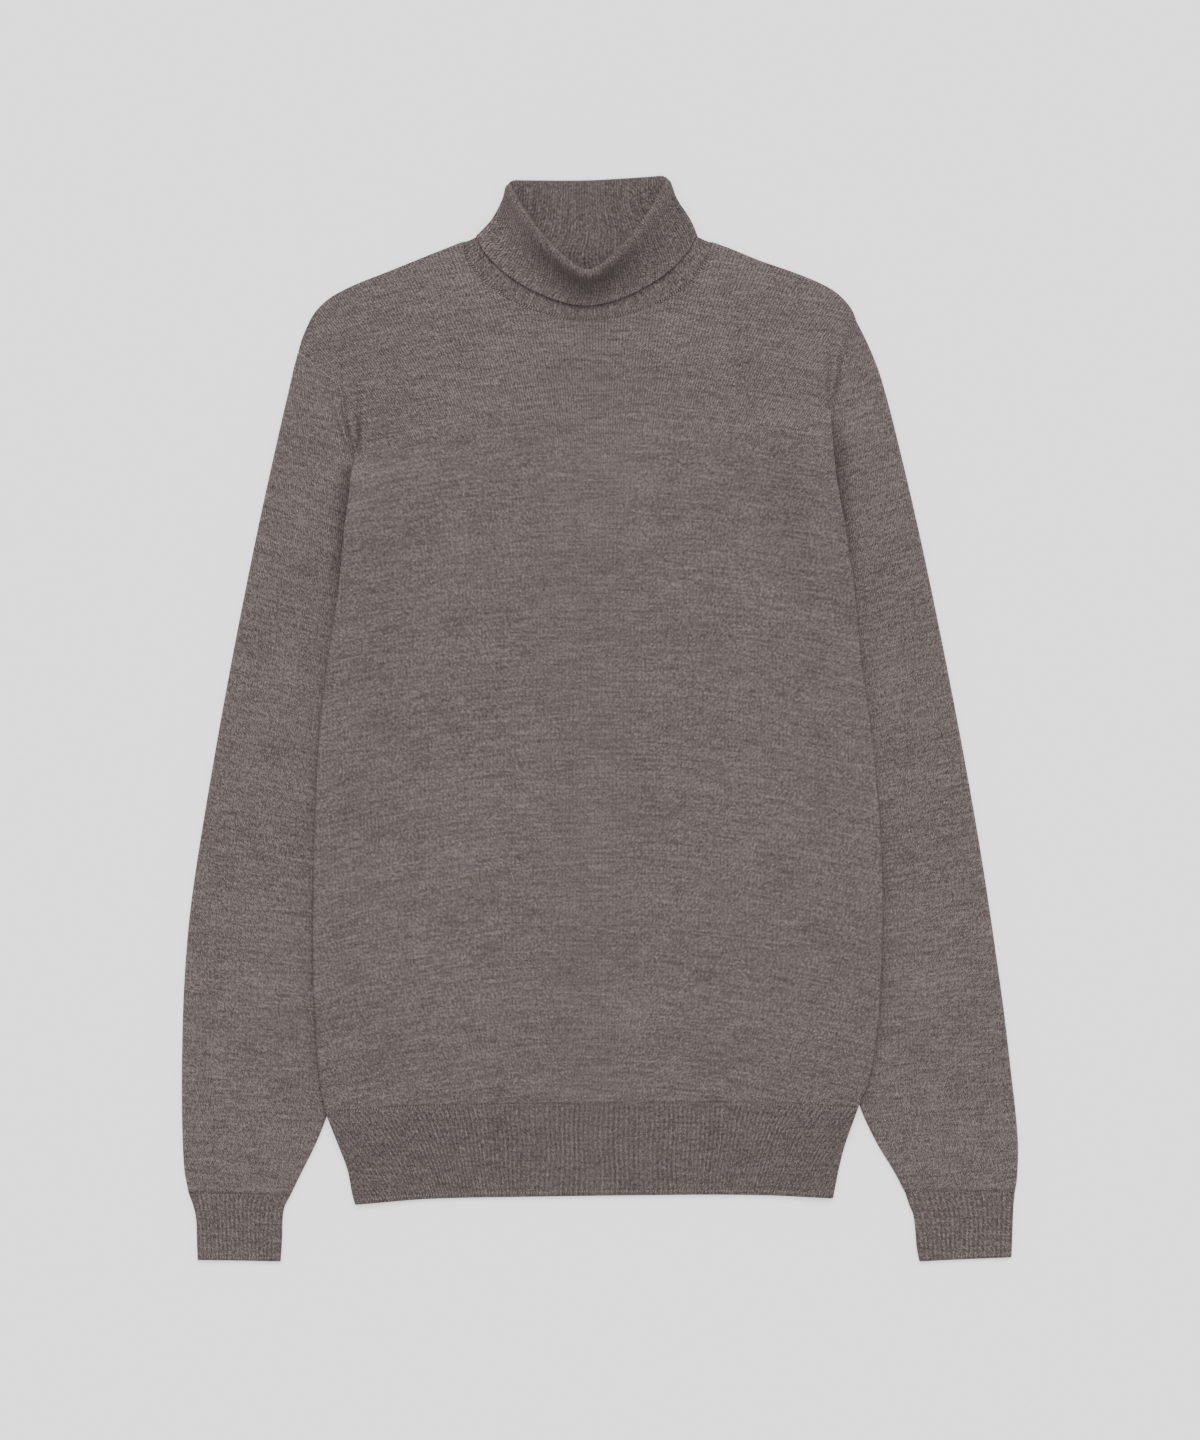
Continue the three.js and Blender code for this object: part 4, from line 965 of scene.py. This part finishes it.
def noise(tree, vector, along_size, across_size, detail, seed, turn=0):
    """Noise drawn out along the rows of loops, or along a line turned from them, about 0."""
    if turn:
        given = {"Vector": vector, "Angle": turn}
        vector = node(tree, "ShaderNodeVectorRotate", given, rotation_type="Z_AXIS").outputs[0]
    given = {0: vector, 1: (1 / along_size, 1 / across_size, 0), 2: (seed, seed * 1.7, seed)}
    scaled = node(tree, "ShaderNodeVectorMath", given, operation="MULTIPLY_ADD").outputs[0]
    given = {"Scale": 1, "Detail": detail, "Roughness": 0.6, "Vector": scaled}
    made = node(tree, "ShaderNodeTexNoise", given, noise_dimensions="3D")
    return maths(tree, "SUBTRACT", made.outputs["Fac"], 0.5)


def heather_group():
    """The yarn's colour. Side, from 0 to 1, is which leg of the loops shows."""
    tree, given, result = new_tree(
        "ShaderNodeTree", "heather_yarn",
        [("Cloth", "Vector"), ("Side", "Float", 0.5), ("Streaks", "Float", 1.0), ("Grain", "Float", 1.0),
         ("Dark", "Color", (0.1, 0.08, 0.075, 1)), ("Light", "Color", (0.4, 0.35, 0.33, 1))],
        [("Color", "Color")],
    )
    make, calc, add, times = builders(tree)
    cloth = given["Cloth"]
    total = None
    for *size, weight in STREAKS:
        part = times(noise(tree, cloth, *size), weight)
        total = part if total is None else add(total, part)
    legs = {"Factor": given["Side"]}
    for slot_name, lean in (("A", LEG_LEAN), ("B", -LEG_LEAN)):
        legs[slot_name] = noise(tree, cloth, *LEG_SIZE, turn=math.pi / 2 - lean)
    leg = times(make("ShaderNodeMix", legs, data_type="FLOAT").outputs[0], LEG_GRAIN)
    fine = times(noise(tree, cloth, *FINE_SIZE), FINE_GRAIN)
    speck = times(add(leg, fine), given["Grain"])
    total = add(times(total, given["Streaks"]), speck)
    tone = calc("MAXIMUM", add(total, 0.5), 0)
    share = calc("POWER", tone, TONE_CURVE)
    mix = make("ShaderNodeMix", {"Factor": share, 6: given["Dark"], 7: given["Light"]}, data_type="RGBA")
    tree.links.new(mix.outputs[2], result["Color"])
    return tree


def loop_group():
    """Height of the V-shaped loops, two legs that lean together in every wale, and their furrows."""
    tree, given, result = new_tree(
        "ShaderNodeTree", "knit_loops", [("Stitch", "Vector"), ("Lean", "Float", LOOP_LEAN)],
        [("Height", "Float"), ("Furrow", "Float")],
    )
    make, calc, add, times = builders(tree)
    count = make("ShaderNodeSeparateXYZ", {0: given["Stitch"]}).outputs
    from_middle = calc("SUBTRACT", calc("FRACT", count["X"]), 0.5)
    away = times(calc("ABSOLUTE", from_middle), 2)
    leaning = add(count["Y"], times(away, given["Lean"]))
    leg = calc("SINE", times(calc("FRACT", leaning), math.pi))
    hump = calc("SINE", times(away, math.pi))
    hump = calc("POWER", add(times(hump, 0.94), 0.05), 0.6)
    tree.links.new(times(leg, hump), result["Height"])
    tree.links.new(calc("SUBTRACT", 1, hump), result["Furrow"])
    return tree


HEATHER, LOOPS = heather_group(), loop_group()
print("shader groups:", HEATHER.name, LOOPS.name)

# %% [markdown]
# ## Two wools
# The jersey's colour carries painted light and shade: its furrows are painted darker, its wales are
# painted as faint light and dark lines, strong only where they fan out below the neck, and its legs
# stand in a painted slanting hatch of light and shade. On a rib, a wale that stands up is painted a
# little lighter than its neighbour, which is painted darker. The linking yarn is the same wool
# without lines, painted paler as a highlight, because it lies on top.

# %% Two wools
DARK_FIBRE, LIGHT_FIBRE = (0.062, 0.05, 0.0475, 1), (0.286, 0.238, 0.229, 1)
MATT = {
    "Roughness": 0.92, "Specular IOR Level": 0.12,
    "Sheen Weight": 0.12, "Sheen Roughness": 0.45, "Sheen Tint": (0.75, 0.68, 0.66, 1),
}
LEGS_CHANGE = (-0.07, 0.05)  # where the other leg of the loops becomes the one that shows
# painted light and shade: the legs are painted lighter and darker in slanting lines, as light falls on one
# leg of each loop
HATCH, HATCH_RISE = 0.15, 0.55  # the slanting lines in which the legs stand, and wales for each row
FAN_ROWS = (650, 720)  # counted rows between which the wales' lines grow strong, below the neck
# painted light and shade: the wales are painted as light and dark lines
FAN_LINES, PAIR_LINES = 0.2, 0.05  # how strong the lines are there, and every second one elsewhere
# painted shade: how much darker the furrows between the wales are painted
FURROW_SHADE = 0.3
# painted light and shade: a raised wale of a rib is painted lighter and a sunken one darker
RIB_SHADE, RIB_SHADE_LEAST = 0.12, 0.065  # how much a rib's wales differ, which varies, and the least
RIB_GRAIN = 1.05


def eased(tree, value, start, end):
    """0 before start and 1 after end, smooth between them."""
    given = {"Value": value, "From Min": start, "From Max": end}
    return node(tree, "ShaderNodeMapRange", given, interpolation_type="SMOOTHSTEP").outputs["Result"]


def jersey_lines(tree, shade, wale, row, side):
    """Add painted light and shade to a shade: light and dark lines along the wales, and a slanting hatch
    in which one leg of the loops is painted lit and the other shaded.
    """
    make, calc, add, times = builders(tree)
    near = eased(tree, row, *FAN_ROWS)
    for turn, far_end, near_end in ((TURN, 0, FAN_LINES), (TURN / 2, PAIR_LINES, 0)):
        wave = calc("COSINE", times(wale, turn))
        weight = make("ShaderNodeMapRange", {"Value": near, "To Min": far_end, "To Max": near_end})
        shade = add(shade, times(wave, weight.outputs["Result"]))
    hatch = {"Factor": side}
    for slot_name, rise in (("A", HATCH_RISE), ("B", -HATCH_RISE)):
        phase = add(wale, times(row, rise))
        hatch[slot_name] = calc("COSINE", times(phase, TURN))
    hatched = make("ShaderNodeMix", hatch, data_type="FLOAT").outputs[0]
    return add(shade, times(hatched, HATCH))


def rib_shade(tree, level, wale):
    """The shade of a rib: a raised wale is painted lighter and a sunken one darker, as painted light and
    shade, by an amount that varies, times the tone kept on the mesh.
    """
    make, calc, add, times = builders(tree)
    wave = calc("COSINE", times(wale, TURN))
    uneven = make("ShaderNodeTexWhiteNoise", {"W": calc("ROUND", wale)}, noise_dimensions="1D")
    amount = times(uneven.outputs["Value"], RIB_SHADE)
    wave = times(wave, add(amount, RIB_SHADE_LEAST))
    # the tone kept on the mesh: painted light and shade on the collar, darker overall on the hem
    tone_and_painted_light = make("ShaderNodeAttribute", attribute_name="tone").outputs["Fac"]
    return times(add(level, wave), tone_and_painted_light)


def wool(name, streaks, depth, level, ribbed=False, lined=False):
    """A matt wool. depth is how deep its loops are, in metres, and level scales its colour."""
    material = bpy.data.materials.new(name)
    material.use_nodes = True
    tree = material.node_tree
    make, calc, _, times = builders(tree)
    shader = tree.nodes["Principled BSDF"]
    set_inputs(shader, MATT)
    cloth, stitch = (make("ShaderNodeUVMap", uv_map=uv).outputs[0] for uv in ("cloth", "stitch"))
    spot = make("ShaderNodeSeparateXYZ", {0: make("ShaderNodeTexCoord").outputs["Object"]})
    side = eased(tree, spot.outputs["X"], *LEGS_CHANGE)
    yarn = make("ShaderNodeGroup", node_tree=HEATHER, inputs={
        "Cloth": cloth, "Side": side, "Streaks": streaks, "Grain": RIB_GRAIN if ribbed else 1,
        "Dark": DARK_FIBRE, "Light": LIGHT_FIBRE,
    })
    loops = make("ShaderNodeGroup", {"Stitch": stitch}, node_tree=LOOPS).outputs
    wale, row, _ = make("ShaderNodeSeparateXYZ", {0: stitch}).outputs
    if ribbed:
        shade = rib_shade(tree, level, wale)
    else:
        # painted shade: the furrows between the wales are painted darker
        shade = calc("SUBTRACT", level, times(loops["Furrow"], FURROW_SHADE))
    if lined:
        shade = jersey_lines(tree, shade, wale, row, side)
    tint = make("ShaderNodeVectorMath", {0: yarn.outputs["Color"], "Scale": shade}, operation="SCALE")
    bump = make("ShaderNodeBump", {"Distance": depth, "Strength": 1, "Height": loops["Height"]})
    tree.links.new(tint.outputs[0], shader.inputs["Base Color"])
    tree.links.new(bump.outputs[0], shader.inputs["Normal"])
    return material


jersey = wool("heather_jersey", 1.0, 0.00022, 1.07, lined=True)
rib_knit = wool("heather_rib", 0.75, 0.0002, 0.83, ribbed=True)
# painted highlight: the linking yarn is painted paler than the jersey, because it lies on top
linking_yarn_painted_light = wool("heather_linking_painted_light", 0.5, 0.0001, 1.5)

for piece in (front, back, sleeve_left, sleeve_right):
    piece.data.materials.append(jersey)
for piece in (hem_front, cuff_left, cuff_right, collar):
    apply_tree(piece, ribs, Height=RIB_HEIGHTS[piece.name], Roundness=RIB_ROUNDNESS, Material=rib_knit)
hem_back.data.materials.append(rib_knit)

# %% [markdown]
# ## Linking the pieces
# The pieces are joined on a linking machine, which sets one chain stitch in every loop. From above
# the chain is a row of small light dots, whose yarn is painted paler as a highlight. The next tree
# sets a bead of yarn, a little askew, at even steps along the seams, and along the bound-off edges
# of the hem and cuffs.

# %% Linking the pieces
LINK_STEP = 0.0019
LINK_SIZE = (0.0012, 0.0005, 0.0005)
LINK_ASKEW = 1.25


def linking_tree():
    tree, given, result = new_tree(
        "GeometryNodeTree", "linking",
        [("Geometry", "Geometry"), ("Step", "Float", LINK_STEP), ("Size", "Vector", LINK_SIZE),
         ("Material", "Material")],
        [("Geometry", "Geometry")],
    )
    make = partial(node, tree)
    path = make("GeometryNodeMeshToCurve", {"Mesh": given["Geometry"]})
    steps = make(
        "GeometryNodeResampleCurve", {"Curve": path.outputs[0], "Length": given["Step"]}, mode="LENGTH",
    )
    bead = make("GeometryNodeMeshUVSphere", {"Segments": 8, "Rings": 6, "Radius": 1})
    tangent = make("GeometryNodeInputTangent").outputs[0]
    align = make("FunctionNodeAlignRotationToVector", {"Vector": tangent}, axis="X")
    place = make("GeometryNodeInstanceOnPoints", {
        "Points": steps.outputs[0], "Instance": bead.outputs["Mesh"],
        "Rotation": align.outputs[0], "Scale": given["Size"],
    })
    askew = {"Instances": place.outputs[0], "Rotation": (0, 0, LINK_ASKEW)}
    turned = make("GeometryNodeRotateInstances", askew)
    real = make("GeometryNodeRealizeInstances", {0: turned.outputs[0]})
    where = make("GeometryNodeInputPosition").outputs[0]
    mapped = make(
        "GeometryNodeStoreNamedAttribute", {"Name": "cloth", "Geometry": real.outputs[0], "Value": where},
        data_type="FLOAT2", domain="CORNER",
    )
    smooth = make("GeometryNodeSetShadeSmooth", {"Geometry": mapped.outputs[0]})
    paint = make("GeometryNodeSetMaterial", {"Geometry": smooth.outputs[0], "Material": given["Material"]})
    tree.links.new(paint.outputs[0], result[0])
    return tree


def seam_lines():
    """The lines of linking on the upper side, each with how far it is moved up the garment and off it."""
    panel, hem = SURFACE["sweater_front"], SURFACE["hem_rib_front"]
    top = panel[-1]
    lines = [
        (top[(top[:, 0] >= NECK[-1][0]) & (top[:, 0] <= NECK[1][0])], 0.2, 0.3),
        (panel[0, 4:-4], 0.3, 0.15),
        (hem[-5, 6:-6], 0, 0.6),
    ]
    for side, column in ((-1, 0), (1, -1)):
        arm = panel[:, column]
        lines.append((arm[(arm[:, 1] > UNDERARM[side] + 9) & (arm[:, 1] < TIP[side] - 2)], 0, 0.25))
    st = stations(CUFF_STEP, CUFF_WIDTH)
    upper = (st[3] > 0) & (st[1] == 1)
    for name in ("cuff_left_rib", "cuff_right_rib"):
        rings = SURFACE[name][:, upper]
        lines += [(rings[0], 0, -0.3), (rings[-5], 0, 0.35)]
    return [line + [0, up, off] for line, up, off in lines]


def line_mesh(name, lines):
    mesh = bpy.data.meshes.new(name)
    starts = np.concatenate([[0], np.cumsum([len(line) for line in lines])])
    edges = [(int(n), int(n) + 1) for a, b in zip(starts[:-1], starts[1:]) for n in range(a, b - 1)]
    mesh.from_pydata((np.concatenate(lines) * MM).tolist(), edges, [])
    return placed(name, mesh)


linking = line_mesh("linking_stitches", seam_lines())
apply_tree(linking, linking_tree(), Step=LINK_STEP, Size=LINK_SIZE, Material=linking_yarn_painted_light)

# %% [markdown]
# ## Handing over
# Every piece rides on the one body and stands for its plain wall in the imported model. The table
# below gives each the size to which it was knitted before it was linked and laid down.

# %% Handing over
SHEETS = [
    # piece, node, slot, width, length, area, how it is held, what it lies on
    (front, "front", "wool_jersey", 0.42, 0.63, 0.238, "laid", ["sweater_back"]),
    (back, "back", "wool_jersey", 0.42, 0.63, 0.242, "laid", []),
    (hem_front, "hem_front", "wool_rib", 0.38, 0.067, None, "laid", ["hem_rib_back"]),
    (hem_back, "hem_back", "wool_rib", 0.38, 0.067, None, "laid", []),
    (sleeve_left, "sleeve_left", "wool_jersey", 0.25, 0.6, 0.104, "laid", []),
    (sleeve_right, "sleeve_right", "wool_jersey", 0.25, 0.62, 0.1, "laid", []),
    (cuff_left, "cuff_left", "wool_rib", 0.145, 0.049, None, "laid", []),
    (cuff_right, "cuff_right", "wool_rib", 0.15, 0.049, None, "laid", []),
    (collar, "collar", "wool_rib", 0.36, 0.1, None, "folded", ["sweater_back", "sweater_front"]),
]
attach(linking, "root")
for piece, cad_node, finish, width, length, area, held, under in SHEETS:
    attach(piece, "root")
    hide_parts(cad_node)
